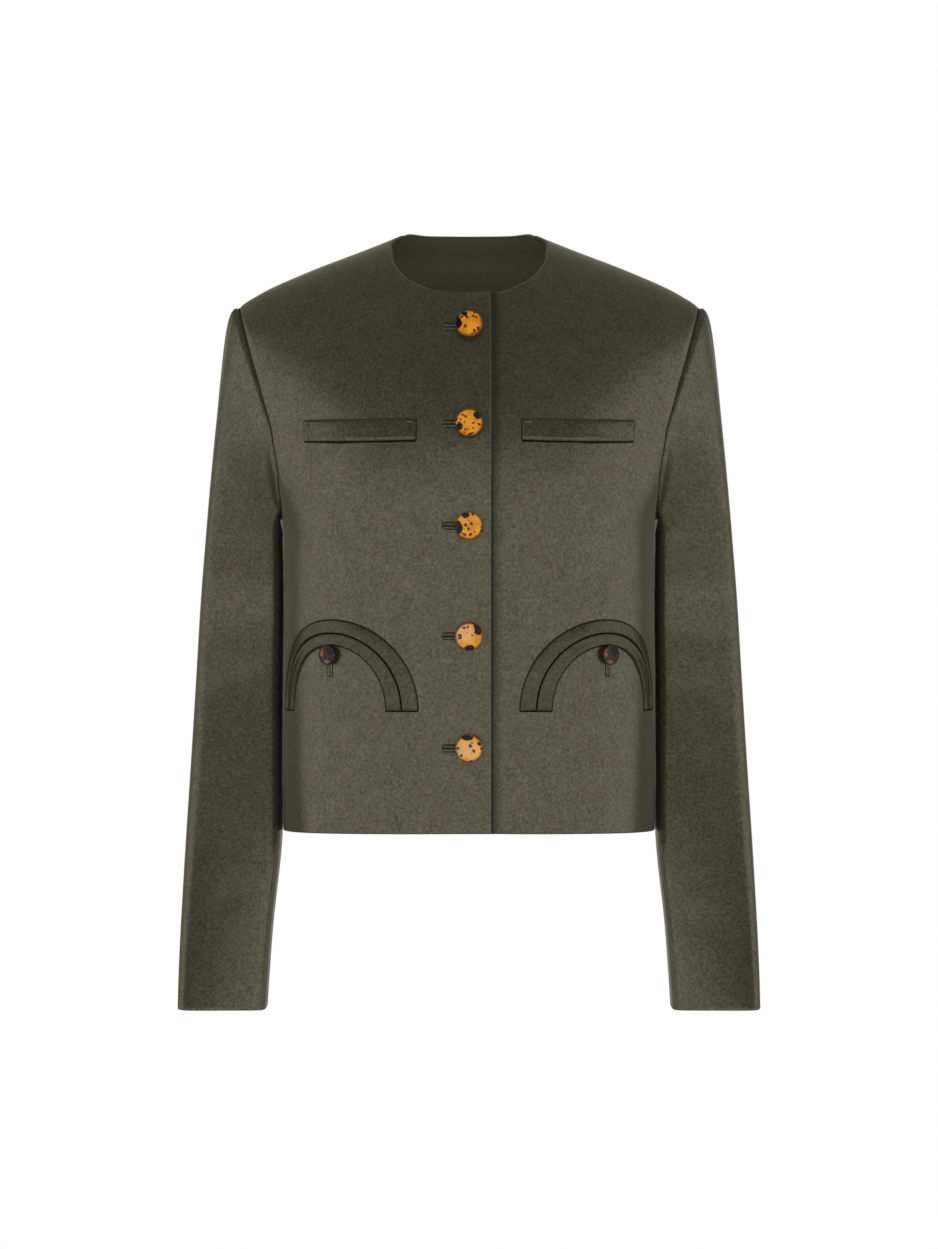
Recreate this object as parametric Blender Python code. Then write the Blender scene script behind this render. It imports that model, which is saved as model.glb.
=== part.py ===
"""Collarless cropped jacket, buttoned, holding the hollow shape of a general wearer.

Sizes are in millimetres and the meshes in metres. X runs to the wearer's left, the front faces -Y,
+Z is up, and the origin is the middle of the neck opening at the height of the shoulder ridge.
"""
from collections import namedtuple

import bmesh
import bpy
import numpy as np

MM = 0.001

# Cloth and sewing.
CLOTH = 2.0
SEAM_GAP = 0.3
LAP = 19.0
LAP_GAP = 0.8
LAP_FLAT = 2.0
LAP_RAMP = 22.0

# Bands and welts: share of the way across, height above the panel.
BAND_BASE = 0.45
BAND_PROFILE = (
    (0.00, 1.0),
    (0.15, 1.6),
    (0.85, 1.6),
    (1.00, 1.0),
)
WELT_PROFILE = (
    (0.00, 1.6),
    (0.45, 1.6),
    (0.90, 1.6),
    (1.00, 1.0),
)

# Front buttons: heights on the centre front, and the turned outline of one button.
BUTTON_HEIGHTS = (-87.5, -171.5, -257.5, -350.5, -445.0)
BUTTON_DIAMETER = 23.6
POCKET_BUTTON_DIAMETER = 17.5
BUTTON_SIDES = 18
BUTTON_SEAT = 1.3
BUTTON_HANG = 0.6
# Columns: radius as a share of the button's radius, height above the seat in millimetres.
BUTTON_OUTLINE = (
    (0.00, 0.0),
    (0.24, 0.0),
    (0.24, 1.6),
    (0.78, 1.8),
    (1.00, 3.2),
    (1.00, 4.2),
    (0.90, 5.0),
    (0.76, 4.6),
    (0.00, 5.1),
)

# Bound buttonholes: length along the slit, height over both lips, how far it runs past the shank.
BUTTONHOLE_LENGTH = 27.0
BUTTONHOLE_HEIGHT = 6.0
BUTTONHOLE_PAST_SHANK = 4.5
POCKET_BUTTONHOLE_LENGTH = 22.0
POCKET_BUTTONHOLE_WIDTH = 5.0
POCKET_BUTTONHOLE_RISE = 3.0
LIP_BASE = 0.3
# Columns: share of the height from the slit, height above the panel.
LIP_PROFILE = (
    (-0.50, 0.80),
    (-0.30, 1.00),
    (-0.06, 1.00),
    (0.00, 0.55),
    (0.06, 1.00),
    (0.30, 1.00),
    (0.50, 0.80),
)

# Breast welts: girth distance from the centre front, length, and the two edges' heights.
CHEST_WELT_START = 45.0
CHEST_WELT_LENGTH = 101.5
CHEST_WELT_TOP = -167.0
CHEST_WELT_BOTTOM = -185.0

# Half-moon pockets: girth distance of the axis from the centre front, height of the square-cut ends,
# and the half width and rise of the three lines that bound the two bands.
POCKET_AXIS = 121.0
POCKET_BASE = -413.5
POCKET_OUTER = (78.0, 77.0)
POCKET_OPENING = (64.0, 65.5)
POCKET_INNER = (50.5, 55.0)
POCKET_BUTTON_GIRTH = 122.0
POCKET_BUTTON_HEIGHT = -366.0

# Level slices of the body from below the hem to above the neck edge: height, half width at the
# side, how far forward or back the side, the centre front and the centre back lie, and how full
# the quarter between them is: a third is straight. From the underarm up to the shoulder tip the
# slices run on past the armhole edge, which cuts them off.
Slice = namedtuple("Slice", "z half_width side front back full")
BODY = (
    Slice(-530.0, 161.5, 2.0, -124.0, 108.0, 0.72),
    Slice(-465.0, 161.5, 2.0, -124.8, 107.2, 0.72),
    Slice(-400.0, 161.4, 2.0, -126.3, 107.2, 0.72),
    Slice(-340.0, 161.1, 2.0, -129.0, 108.6, 0.72),
    Slice(-290.0, 160.8, 2.0, -131.2, 110.7, 0.72),
    Slice(-250.0, 162.5, 2.0, -132.0, 113.0, 0.70),
    Slice(-216.0, 181.0, 2.5, -130.8, 114.6, 0.62),
    Slice(-180.0, 206.0, 3.5, -126.4, 114.2, 0.52),
    Slice(-146.5, 224.0, 4.5, -118.8, 112.4, 0.46),
    Slice(-117.5, 231.0, 5.5, -108.8, 109.6, 0.43),
    Slice(-97.0, 229.0, 6.3, -99.5, 106.8, 0.42),
    Slice(-83.5, 222.0, 7.0, -92.8, 104.5, 0.42),
    Slice(-74.0, 213.5, 7.5, -87.8, 102.7, 0.42),
    Slice(-64.4, 200.5, 8.0, -82.5, 100.5, 0.43),
    Slice(-56.7, 189.0, 8.6, -78.0, 98.3, 0.44),
    Slice(-46.2, 169.6, 9.5, -71.0, 94.8, 0.46),
    Slice(-30.4, 132.8, 11.0, -59.0, 87.5, 0.50),
    Slice(-15.4, 93.5, 12.4, -46.0, 76.0, 0.54),
    Slice(0.0, 55.5, 14.0, -29.0, 52.5, 0.56),
    Slice(14.0, 24.0, 15.5, -8.0, 30.0, 0.56),
)

# Sections of one half, from the front hem over the shoulder to the back hem.
# Distance from the centre line and height of the two ends: the inner one is on the centre line or
# neck edge, the outer one on the side seam or armhole edge.
Section = namedtuple("Section", "name inner outer")
SECTIONS = (
    Section("front hem", (0.0, -517.5), (162.0, -519.0)),
    Section("front waist", (0.0, -410.0), (162.0, -410.0)),
    Section("front ribs", (0.0, -325.0), (162.0, -325.0)),
    Section("front underarm", (0.0, -245.0), (163.0, -250.0)),
    Section("front scye low", (0.0, -205.0), (161.8, -242.5)),
    Section("front chest", (0.0, -167.0), (163.9, -216.0)),
    Section("front upper chest", (0.0, -130.0), (169.3, -180.0)),
    Section("front below neck", (0.0, -94.0), (177.8, -146.5)),
    Section("front neck", (0.0, -56.5), (186.1, -117.5)),
    Section("front neck curve", (30.0, -54.3), (191.9, -97.0)),
    Section("front neck side", (52.0, -44.3), (195.6, -83.5)),
    Section("neck side low", (64.0, -29.8), (198.2, -74.0)),
    Section("neck side high", (67.0, -14.5), (199.8, -67.5)),
    Section("shoulder", (55.5, 0.0), (200.5, -64.4)),
    Section("back neck curve", (33.0, 1.2), (199.9, -67.0)),
    Section("back neck", (0.0, 1.5), (197.8, -73.0)),
    Section("back below neck", (0.0, -26.0), (193.0, -88.0)),
    Section("back blade top", (0.0, -62.0), (187.0, -112.0)),
    Section("back blade", (0.0, -105.0), (181.0, -144.0)),
    Section("back chest", (0.0, -150.0), (174.0, -180.0)),
    Section("back scye low", (0.0, -198.0), (166.5, -216.0)),
    Section("back scye end", (0.0, -225.0), (162.3, -242.5)),
    Section("back underarm", (0.0, -250.0), (163.0, -250.0)),
    Section("back ribs", (0.0, -325.0), (162.0, -325.0)),
    Section("back waist", (0.0, -410.0), (162.0, -410.0)),
    Section("back hem", (0.0, -517.5), (162.0, -519.0)),
)
NAMES = [section.name for section in SECTIONS]
FRONT_UNDERARM = NAMES.index("front underarm")
FRONT_NECK = NAMES.index("front neck")
SHOULDER = NAMES.index("shoulder")
BACK_NECK = NAMES.index("back neck")
BACK_BLADE = NAMES.index("back blade")
BACK_UNDERARM = NAMES.index("back underarm")
BACK_HEM = NAMES.index("back hem")

# Sleeve rings from the upper arm to the cuff; slant lifts the outer side of a ring, tuck carries
# its inner back behind the body, and turn brings its outer side forward.
Ring = namedtuple("Ring", "z x y half_width half_depth slant tuck turn")
SLEEVE = (
    Ring(-262.0, 195.4, 24.0, 33.4, 49.0, 0.00, 14.0, 0.0),
    Ring(-320.0, 197.7, 32.0, 36.2, 47.5, 0.00, 15.0, 0.0),
    Ring(-390.0, 199.9, 25.0, 37.8, 47.5, 0.00, 14.0, 0.0),
    Ring(-460.0, 201.8, 11.5, 39.5, 46.5, 0.00, 10.0, 0.0),
    Ring(-528.0, 203.8, -2.8, 41.1, 45.8, 0.00, 3.0, 1.0),
    Ring(-596.6, 208.6, -18.0, 39.2, 45.0, 0.00, 0.0, 6.0),
    Ring(-638.3, 210.7, -27.5, 38.2, 44.5, 0.02, 0.0, 10.0),
    Ring(-669.9, 211.8, -34.5, 37.4, 44.5, 0.03, 0.0, 13.0),
)
SLEEVE_FULL = 0.98

# Sleeve head round the armhole: share of the way from shoulder to underarm, how far the head
# rolls out, the roll's spread away from the armhole's middle, and the share of the drop it hangs.
Cap = namedtuple("Cap", "way roll spread hang")
SLEEVE_CAP = (
    Cap(0.00, 12.5, 0.10, 0.87),
    Cap(0.25, 12.0, 0.16, 0.78),
    Cap(0.50, 10.0, 0.26, 0.62),
    Cap(0.75, 7.0, 0.24, 0.50),
    Cap(1.00, 3.0, 0.00, 0.35),
)
CAP_OUTWARD = (0.97, 0.0, -0.24)

# Mesh spacing: rows run along the table of sections, columns across a section.
FRONT_ROWS = np.linspace(0, SHOULDER, 2 * SHOULDER + 1)
BACK_ROWS = np.concatenate([
    np.arange(SHOULDER, BACK_NECK, 0.5),
    np.arange(BACK_NECK, BACK_BLADE),
    np.arange(BACK_BLADE, BACK_UNDERARM + 1, 0.5),
    np.arange(BACK_UNDERARM + 1, BACK_HEM + 1),
])
PANEL_COLUMNS = np.array([0, 0.035, 0.07, 0.13, 0.2, 0.28, 0.37, 0.46, 0.55, 0.64, 0.73, 0.82, 0.91, 1])
CAP_ROWS = np.array([0.0, 0.1, 0.22, 0.38, 0.58, 0.8])
SLEEVE_ROWS = np.linspace(0.0, len(SLEEVE) - 1.0, 9)
FINE_STEPS = 240
TURNS = np.linspace(0.0, 1.0, FINE_STEPS + 1)
ARCH_STEPS = 17
WELT_STEPS = 13
LIP_STEPS = 6
STEP = 1e-3
RISE_STEP = 0.2

CLOTH_ROUGHNESS = 0.55
BUTTON_ROUGHNESS = 0.2
CLOTH_COLOUR = (0.085, 0.079, 0.054)
WELT_COLOUR = (0.078, 0.072, 0.049)
SHELL_COLOUR = (0.72, 0.33, 0.04)
DARK_SHELL_COLOUR = (0.16, 0.06, 0.02)


def spline(values, at, before=None, after=None):
    """Smooth curve through the rows of values; before and after steer the two ends."""
    rows = [] if before is None else [before]
    rows = np.array(rows + list(values) + ([] if after is None else [after]), float)
    shift = 0 if before is None else 1
    slopes = np.gradient(rows, axis=0)
    at = np.asarray(at, float) + shift
    low = np.clip(np.floor(at).astype(int), 0, len(rows) - 2)
    t = (at - low)[..., None]
    start = (1 + 2 * t) * (1 - t) ** 2 * rows[low] + t * (1 - t) ** 2 * slopes[low]
    return start + t * t * (3 - 2 * t) * rows[low + 1] + t * t * (t - 1) * slopes[low + 1]


def mirrored(points):
    """The same points on the other side of the centre plane."""
    return np.asarray(points, float) * (-1.0, 1.0, 1.0)


def unit(vectors):
    """Vectors made one long."""
    return vectors / np.linalg.norm(vectors, axis=-1, keepdims=True)


def lengths(points, axis=0):
    """Distance along rows or columns of points from their start."""
    steps = np.linalg.norm(np.diff(points, axis=axis), axis=-1)
    start = np.zeros_like(np.take(steps, [0], axis=axis))
    return np.concatenate([start, np.cumsum(steps, axis=axis)], axis=axis)


SLICE_ROWS = np.linspace(0, len(BODY) - 1, FINE_STEPS * (len(BODY) - 1) + 1)
SLICE_HEIGHTS = spline(BODY, SLICE_ROWS)[:, 0]


def slice_at(z):
    """Half width, the places of side, centre front and centre back, and fullness at a height."""
    row = spline(BODY, np.interp(z, SLICE_HEIGHTS, SLICE_ROWS))
    return np.moveaxis(row[..., 1:], -1, 0)


def quarter(turn, full):
    """Shares of the half width and of the depth, from the centre at 0 to the side at 1."""
    back = 1 - turn
    across = 3 * back * back * turn * full + 3 * back * turn * turn + turn ** 3
    deep = back ** 3 + 3 * back * back * turn + 3 * back * turn * turn * full
    return across, deep


def body_point(turn, z):
    """Outside of the cloth: turn is 0 at the centre front, 1 at the side and 2 at the centre back."""
    turn, z = np.broadcast_arrays(np.asarray(turn, float), np.asarray(z, float))
    half_width, side, front, back, full = slice_at(z)
    across, deep = quarter(1 - np.abs(1 - turn), full)
    y = side + np.where(turn < 1, front - side, back - side) * deep
    return np.stack([half_width * across, y, z], axis=-1)


def body_normal(turn, z):
    """Direction out of the garment."""
    across = body_point(turn + STEP, z) - body_point(turn - STEP, z)
    up = body_point(turn, z + STEP) - body_point(turn, z - STEP)
    return unit(np.cross(across, up))


def section_end(number, x, z):
    """Turn and height of a section's end at a distance from the centre line."""
    half_width, side, front, back, full = slice_at(z)
    turn = float(np.interp(x / half_width, quarter(TURNS, full)[0], TURNS))
    return (turn if number <= SHOULDER else 2 - turn), z


INNER_ENDS = np.array([section_end(number, *row.inner) for number, row in enumerate(SECTIONS)])
OUTER_ENDS = np.array([section_end(number, *row.outer) for number, row in enumerate(SECTIONS)])


def inner_edge(v):
    """Turn and height along centre front, neck edge and centre back, with corners where they meet."""
    neck = INNER_ENDS[FRONT_NECK:BACK_NECK + 1]
    round_neck = np.clip(v, FRONT_NECK, BACK_NECK) - FRONT_NECK
    before = neck[1] * (-1, 1)
    after = (4 - neck[-2][0], neck[-2][1])
    curve = spline(neck, round_neck, before, after)
    front = spline(INNER_ENDS[:FRONT_NECK + 1], np.minimum(v, FRONT_NECK))
    back = spline(INNER_ENDS[BACK_NECK:], np.maximum(v, BACK_NECK) - BACK_NECK)
    below = (v < FRONT_NECK)[..., None]
    behind = (v > BACK_NECK)[..., None]
    return np.where(below, front, np.where(behind, back, curve))


def outer_edge(v):
    """Turn and height along side seam and armhole; the armhole is one closed loop."""
    scye = OUTER_ENDS[FRONT_UNDERARM:BACK_UNDERARM + 1]
    round_scye = np.clip(v, FRONT_UNDERARM, BACK_UNDERARM) - FRONT_UNDERARM
    loop = spline(scye, round_scye, scye[-2], scye[1])
    front = spline(OUTER_ENDS[:FRONT_UNDERARM + 1], np.minimum(v, FRONT_UNDERARM))
    back = spline(OUTER_ENDS[BACK_UNDERARM:], np.maximum(v, BACK_UNDERARM) - BACK_UNDERARM)
    below = (v < FRONT_UNDERARM)[..., None]
    behind = (v > BACK_UNDERARM)[..., None]
    return np.where(below, front, np.where(behind, back, loop))


def section_place(u, v):
    """Turn and height at a share u of the way across the sections, v along their table."""
    u, v = np.broadcast_arrays(np.asarray(u, float), np.asarray(v, float))
    place = inner_edge(v) * (1 - u[..., None]) + outer_edge(v) * u[..., None]
    return place[..., 0], place[..., 1]


def section_point(u, v):
    """Point of the body at a place of the sections."""
    return body_point(*section_place(u, v))


def armhole(v):
    """Points along the armhole edge."""
    return body_point(*np.moveaxis(outer_edge(v), -1, 0))


def section_frame(u, v):
    """Point, directions across and along the sections, and the normal out of the garment."""
    u, v = np.broadcast_arrays(np.asarray(u, float), np.asarray(v, float))
    low = np.clip(v - STEP, 0, BACK_HEM)
    high = np.clip(v + STEP, 0, BACK_HEM)
    across = unit(section_point(u + STEP, v) - section_point(u - STEP, v))
    along = unit(section_point(u, high) - section_point(u, low))
    return section_point(u, v), across, along, body_normal(*section_place(u, v))


def front_turn(girth, height):
    """Turn of points at these girths from the centre front and these heights."""
    line = body_point(TURNS, np.asarray(height, float)[:, None])
    girths = lengths(line, axis=1)
    return np.array([np.interp(far, row, TURNS) for far, row in zip(girth, girths)])


def lap_depth(x):
    """How far the left front steps inward under the right one."""
    ramp = np.clip((LAP + LAP_FLAT + LAP_RAMP - x) / LAP_RAMP, 0, 1)
    return (CLOTH + LAP_GAP) * ramp * ramp * (3 - 2 * ramp)


def on_front(girth, height, out, side):
    """Points moved out from a front, and normals; a girth below 0 crosses the centre front."""
    girth, height, out = np.broadcast_arrays(*(np.asarray(a, float) for a in (girth, height, out)))
    shape = girth.shape
    turn = front_turn(np.abs(girth).ravel(), height.ravel())
    flip = np.where(girth.ravel() < 0, -1.0, 1.0)[:, None] * (1, 0, 0) + (0, 1, 1)
    point = body_point(turn, height.ravel()) * flip
    normal = body_normal(turn, height.ravel()) * flip
    out = out.ravel()
    if side > 0:
        out = out - lap_depth(point[:, 0])
    mirror = np.array((side, 1.0, 1.0))
    placed = (point + normal * out[:, None]) * mirror
    return placed.reshape(*shape, 3), (normal * mirror).reshape(*shape, 3)


def lap_column(x, share):
    """Points and normals of the lap at a distance past the centre front, from hem to neck edge."""
    neck_rows = np.linspace(FRONT_NECK, FRONT_NECK + 1, FINE_STEPS)
    neck_line = section_point(np.zeros(FINE_STEPS), neck_rows)
    neck_row = np.interp(x, neck_line[:, 0], neck_rows)
    neck_turn, top = inner_edge(np.array(neck_row))
    hem = SECTIONS[0].inner[1]
    heights = hem + share * (top - hem)
    turns = front_turn(np.full(len(share), x), heights)
    turns[-1] = neck_turn
    return mirrored(body_point(turns, heights)), mirrored(body_normal(turns, heights))


def front_net(side):
    """Outer points, inner points and faces of a whole front with its lap."""
    point, across, along, normal = section_frame(PANEL_COLUMNS[None, :], FRONT_ROWS[:, None])
    point[:, -1] -= across[:, -1] * SEAM_GAP / 2
    point[-1] -= along[-1] * SEAM_GAP / 2
    index = np.arange(point.shape[0] * point.shape[1]).reshape(point.shape[:2])
    faces = grid_faces(index)
    lap_rows = int(np.searchsorted(FRONT_ROWS, FRONT_NECK)) + 1
    centre = point[:lap_rows, 0, 2]
    share = (centre - centre[0]) / (centre[-1] - centre[0])
    points = point.reshape(-1, 3)
    normals = normal.reshape(-1, 3)
    edge = index[:lap_rows, 0]
    for x in (LAP / 2, LAP):
        column, column_normal = lap_column(x, share)
        new_edge = np.arange(lap_rows) + len(points)
        faces += grid_faces(np.stack([new_edge, edge], axis=1))
        points = np.concatenate([points, column])
        normals = np.concatenate([normals, column_normal])
        edge = new_edge
    if side > 0:
        points = points - normals * lap_depth(points[:, 0])[:, None]
    inside = points - normals * CLOTH
    return points * (side, 1, 1), inside * (side, 1, 1), faces


def back_net():
    """Outer points, inner points and faces of the back; the halves join below the neck edge."""
    point, across, along, normal = section_frame(PANEL_COLUMNS[None, :], BACK_ROWS[:, None])
    point[:, -1] -= across[:, -1] * SEAM_GAP / 2
    point[0] += along[0] * SEAM_GAP / 2
    inside = point - normal * CLOTH
    count = point.shape[0] * point.shape[1]
    index = np.arange(count).reshape(point.shape[:2])
    other = index + count
    joined = BACK_ROWS >= BACK_NECK
    other[joined, 0] = index[joined, 0]
    faces = grid_faces(index) + grid_faces(other[:, ::-1])
    used = np.unique(np.concatenate([index.ravel(), other.ravel()]))
    place = np.zeros(2 * count, int)
    place[used] = np.arange(len(used))
    halves = [
        np.concatenate([net.reshape(-1, 3), mirrored(net.reshape(-1, 3))])[used]
        for net in (point, inside)
    ]
    return halves[0], halves[1], [tuple(int(place[i]) for i in face) for face in faces]


def grid_faces(index):
    """Four-sided faces between neighbouring points of a net of indices."""
    return [
        (int(index[r, c]), int(index[r, c + 1]), int(index[r + 1, c + 1]), int(index[r + 1, c]))
        for r in range(index.shape[0] - 1)
        for c in range(index.shape[1] - 1)
    ]


def sleeve_ring(row, angle):
    """Point of the sleeve tube: angle 0 is the outer side, a quarter turn the front."""
    z, x, y, half_width, half_depth, slant, tuck, turn = spline(SLEEVE, row).T
    quarters = np.abs(angle) / (np.pi / 2)
    rise, fall = quarter(np.where(quarters < 1, quarters, 2 - quarters), SLEEVE_FULL)
    across = np.where(quarters < 1, fall, -fall)
    deep = np.sign(angle) * rise
    height = z + slant * half_width * across
    behind = np.maximum(-deep, 0) ** 2 * (1 - across) / 2
    aside = x + half_width * across - tuck * behind
    return np.stack([aside, y - half_depth * deep - turn * across, height], axis=-1)


def sleeve_net():
    """Outer and inner points of the sleeve on the side x > 0, rows from armhole to cuff."""
    front = FRONT_ROWS[FRONT_ROWS >= FRONT_UNDERARM]
    back = BACK_ROWS[(BACK_ROWS > SHOULDER) & (BACK_ROWS < BACK_UNDERARM)]
    loop_rows = np.concatenate([front, back])
    loop = armhole(loop_rows)
    middle = loop.mean(axis=0)
    closed = np.concatenate([loop, loop[:1]])
    length = np.concatenate([[0.0], np.cumsum(np.linalg.norm(np.diff(closed, axis=0), axis=1))])
    top = len(front) - 1
    way_front = 1 - length[:top + 1] / length[top]
    way_back = (length[top + 1:-1] - length[top]) / (length[-1] - length[top])
    way = np.concatenate([way_front, way_back])
    angle = np.pi * np.concatenate([way_front, -way_back])
    cap = spline([row[1:] for row in SLEEVE_CAP], way * (len(SLEEVE_CAP) - 1))
    roll, spread, hang = (cap[:, i:i + 1] for i in range(3))
    radial = unit((loop - middle) * (0, 1, 1))
    outward = unit(np.array(CAP_OUTWARD) + radial * spread)
    start = loop + outward * SEAM_GAP
    ring = sleeve_ring(np.zeros(len(angle)), angle)
    rise = unit(ring - sleeve_ring(np.full(len(angle), RISE_STEP), angle))
    drop = (start - ring)[:, 2:] * hang

    def surface(t):
        return (
            (1 - t) ** 3 * start
            + 3 * t * (1 - t) ** 2 * (start + outward * roll)
            + 3 * t * t * (1 - t) * (ring + rise * drop)
            + t ** 3 * ring
        )

    rows = [surface(t) for t in CAP_ROWS]
    rows += [sleeve_ring(np.full(len(angle), row), angle) for row in SLEEVE_ROWS]
    outside = np.array(rows)
    along = np.gradient(outside, axis=0)
    along[0] = outward
    around = np.roll(outside, -1, axis=1) - np.roll(outside, 1, axis=1)
    return outside, outside - unit(np.cross(along, around)) * CLOTH


def add_object(name, vertices, faces, colour, roughness):
    """One closed mesh in metres with its own Principled material."""
    mesh = bpy.data.meshes.new(name)
    mesh.from_pydata([tuple(point) for point in np.asarray(vertices) * MM], [], faces)
    work = bmesh.new()
    work.from_mesh(mesh)
    bmesh.ops.recalc_face_normals(work, faces=work.faces)
    work.to_mesh(mesh)
    work.free()
    material = bpy.data.materials.new(name)
    material.use_nodes = True
    shader = material.node_tree.nodes["Principled BSDF"]
    shader.inputs["Base Color"].default_value = (*colour, 1.0)
    shader.inputs["Roughness"].default_value = roughness
    mesh.materials.append(material)
    made = bpy.data.objects.new(name, mesh)
    bpy.context.scene.collection.objects.link(made)


def add_wall(name, outside, inside, faces, colour):
    """A wall between two like nets of points, closed round every free edge."""
    count = len(outside)
    edges = {(face[i], face[(i + 1) % len(face)]) for face in faces for i in range(len(face))}
    free = [edge for edge in edges if (edge[1], edge[0]) not in edges]
    solid = [tuple(face) for face in faces]
    solid += [tuple(count + i for i in reversed(face)) for face in faces]
    for a, b in sorted(free):
        if abs(outside[a][0]) > abs(outside[b][0]):
            solid += [(a, a + count, b + count), (a, b + count, b)]
        else:
            solid += [(b, a, a + count), (b, a + count, b + count)]
    add_object(name, np.concatenate([outside, inside]), solid, colour, CLOTH_ROUGHNESS)


def add_laid(name, girths, heights, tops, base, side):
    """A piece lying on a front: nets of girth, height and thickness moved out from the panel."""
    girths, heights, tops = np.broadcast_arrays(girths, heights, tops)
    outside = on_front(girths, heights, tops, side)[0].reshape(-1, 3)
    inside = on_front(girths, heights, base, side)[0].reshape(-1, 3)
    faces = grid_faces(np.arange(girths.size).reshape(girths.shape))
    add_wall(name, outside, inside, faces, WELT_COLOUR)


def add_arch(name, far, near, side):
    """A curved pocket band between two half-ellipses, with ends cut square at the base."""
    turn = np.linspace(0.0, np.pi, ARCH_STEPS)[:, None]
    across, tops = np.array(BAND_PROFILE).T
    margin = SEAM_GAP / 2
    half = (far[0] - margin) + across * (near[0] - far[0] + 2 * margin)
    rise = (far[1] - margin) + across * (near[1] - far[1] + 2 * margin)
    girths = POCKET_AXIS - half * np.cos(turn)
    heights = POCKET_BASE + rise * np.sin(turn)
    add_laid(name, girths, heights, tops, BAND_BASE, side)


def add_chest_welt(name, side):
    """A straight breast welt with a softly rounded top edge."""
    girths = CHEST_WELT_START + CHEST_WELT_LENGTH * np.linspace(0.0, 1.0, WELT_STEPS)[:, None]
    across, tops = np.array(WELT_PROFILE).T
    heights = CHEST_WELT_BOTTOM + (CHEST_WELT_TOP - CHEST_WELT_BOTTOM) * across
    add_laid(name, girths, heights, tops, BAND_BASE, side)


def add_front_buttonhole(name, height):
    """Level bound buttonhole on the right front, running away from the front edge."""
    across, tops = np.array(LIP_PROFILE).T
    end = BUTTONHOLE_LENGTH - BUTTONHOLE_PAST_SHANK
    girths = np.linspace(-BUTTONHOLE_PAST_SHANK, end, LIP_STEPS)[:, None]
    add_laid(name, girths, height + across * BUTTONHOLE_HEIGHT, tops, LIP_BASE, -1)


def add_pocket_buttonhole(name, side):
    """Upright bound buttonhole inside the pocket's curve, hanging from the button."""
    across, tops = np.array(LIP_PROFILE).T
    top = POCKET_BUTTON_HEIGHT + POCKET_BUTTONHOLE_RISE
    heights = np.linspace(top, top - POCKET_BUTTONHOLE_LENGTH, LIP_STEPS)[:, None]
    girths = POCKET_BUTTON_GIRTH + across * POCKET_BUTTONHOLE_WIDTH
    add_laid(name, girths, heights, tops, LIP_BASE, side)


def circle(normal):
    """Points of a unit circle across a normal, starting level and turning upward."""
    up = unit(np.array([0.0, 0.0, 1.0]) - normal * normal[2])
    turn = np.linspace(0.0, 2 * np.pi, BUTTON_SIDES, endpoint=False)[:, None]
    return np.cos(turn) * np.cross(up, normal) + np.sin(turn) * up


def add_button(name, girth, height, diameter, side, colour):
    """A domed shank button: the foot lies on the cloth and the head hangs nearer upright."""
    seat, normal = on_front(girth, height, BUTTON_SEAT, side)
    hang = unit(normal * (1.0, 1.0, BUTTON_HANG))
    stand = diameter / 2 * (1 - BUTTON_HANG) * abs(normal[2])
    scale = diameter / BUTTON_DIAMETER
    rings = [seat + circle(normal) * BUTTON_OUTLINE[1][0] * diameter / 2]
    rings += [
        seat + hang * (lift * scale + stand) + circle(hang) * share * diameter / 2
        for share, lift in BUTTON_OUTLINE[2:-1]
    ]
    crown = seat + hang * (BUTTON_OUTLINE[-1][1] * scale + stand)
    vertices = np.concatenate([*rings, seat[None], crown[None]])
    index = np.arange(len(rings) * BUTTON_SIDES).reshape(len(rings), -1)
    index = np.concatenate([index, index[:, :1]], axis=1)
    faces = grid_faces(index)
    last = len(vertices)
    for i in range(BUTTON_SIDES):
        faces.append((int(index[0, i + 1]), int(index[0, i]), last - 2))
        faces.append((int(index[-1, i]), int(index[-1, i + 1]), last - 1))
    add_object(name, vertices, faces, colour, BUTTON_ROUGHNESS)


def build():
    """Make every piece of the jacket."""
    for old in list(bpy.data.objects):
        bpy.data.objects.remove(old)
    for name, side in (("front_right", -1), ("front_left", 1)):
        add_wall(name, *front_net(side), CLOTH_COLOUR)
    add_wall("back", *back_net(), CLOTH_COLOUR)
    outside, inside = sleeve_net()
    index = np.arange(outside.shape[0] * outside.shape[1]).reshape(outside.shape[:2])
    faces = grid_faces(np.concatenate([index, index[:, :1]], axis=1))
    for hand, side in (("right", -1), ("left", 1)):
        mirror = np.array((side, 1.0, 1.0))
        wall = [net.reshape(-1, 3) * mirror for net in (outside, inside)]
        add_wall(f"sleeve_{hand}", *wall, faces, CLOTH_COLOUR)
        add_chest_welt(f"chest_welt_{hand}", side)
        add_arch(f"pocket_upper_welt_{hand}", POCKET_OUTER, POCKET_OPENING, side)
        add_arch(f"pocket_lower_welt_{hand}", POCKET_OPENING, POCKET_INNER, side)
        add_pocket_buttonhole(f"pocket_buttonhole_{hand}", side)
        add_button(
            f"pocket_button_{hand}", POCKET_BUTTON_GIRTH, POCKET_BUTTON_HEIGHT,
            POCKET_BUTTON_DIAMETER, side, DARK_SHELL_COLOUR,
        )
    for number, height in enumerate(BUTTON_HEIGHTS, 1):
        add_front_buttonhole(f"buttonhole_{number}", height)
        add_button(f"button_{number}", 0.0, height, BUTTON_DIAMETER, -1, SHELL_COLOUR)


build()
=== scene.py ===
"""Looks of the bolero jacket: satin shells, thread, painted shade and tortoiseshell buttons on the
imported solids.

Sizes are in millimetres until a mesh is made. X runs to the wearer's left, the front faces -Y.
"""

from collections import namedtuple

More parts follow.
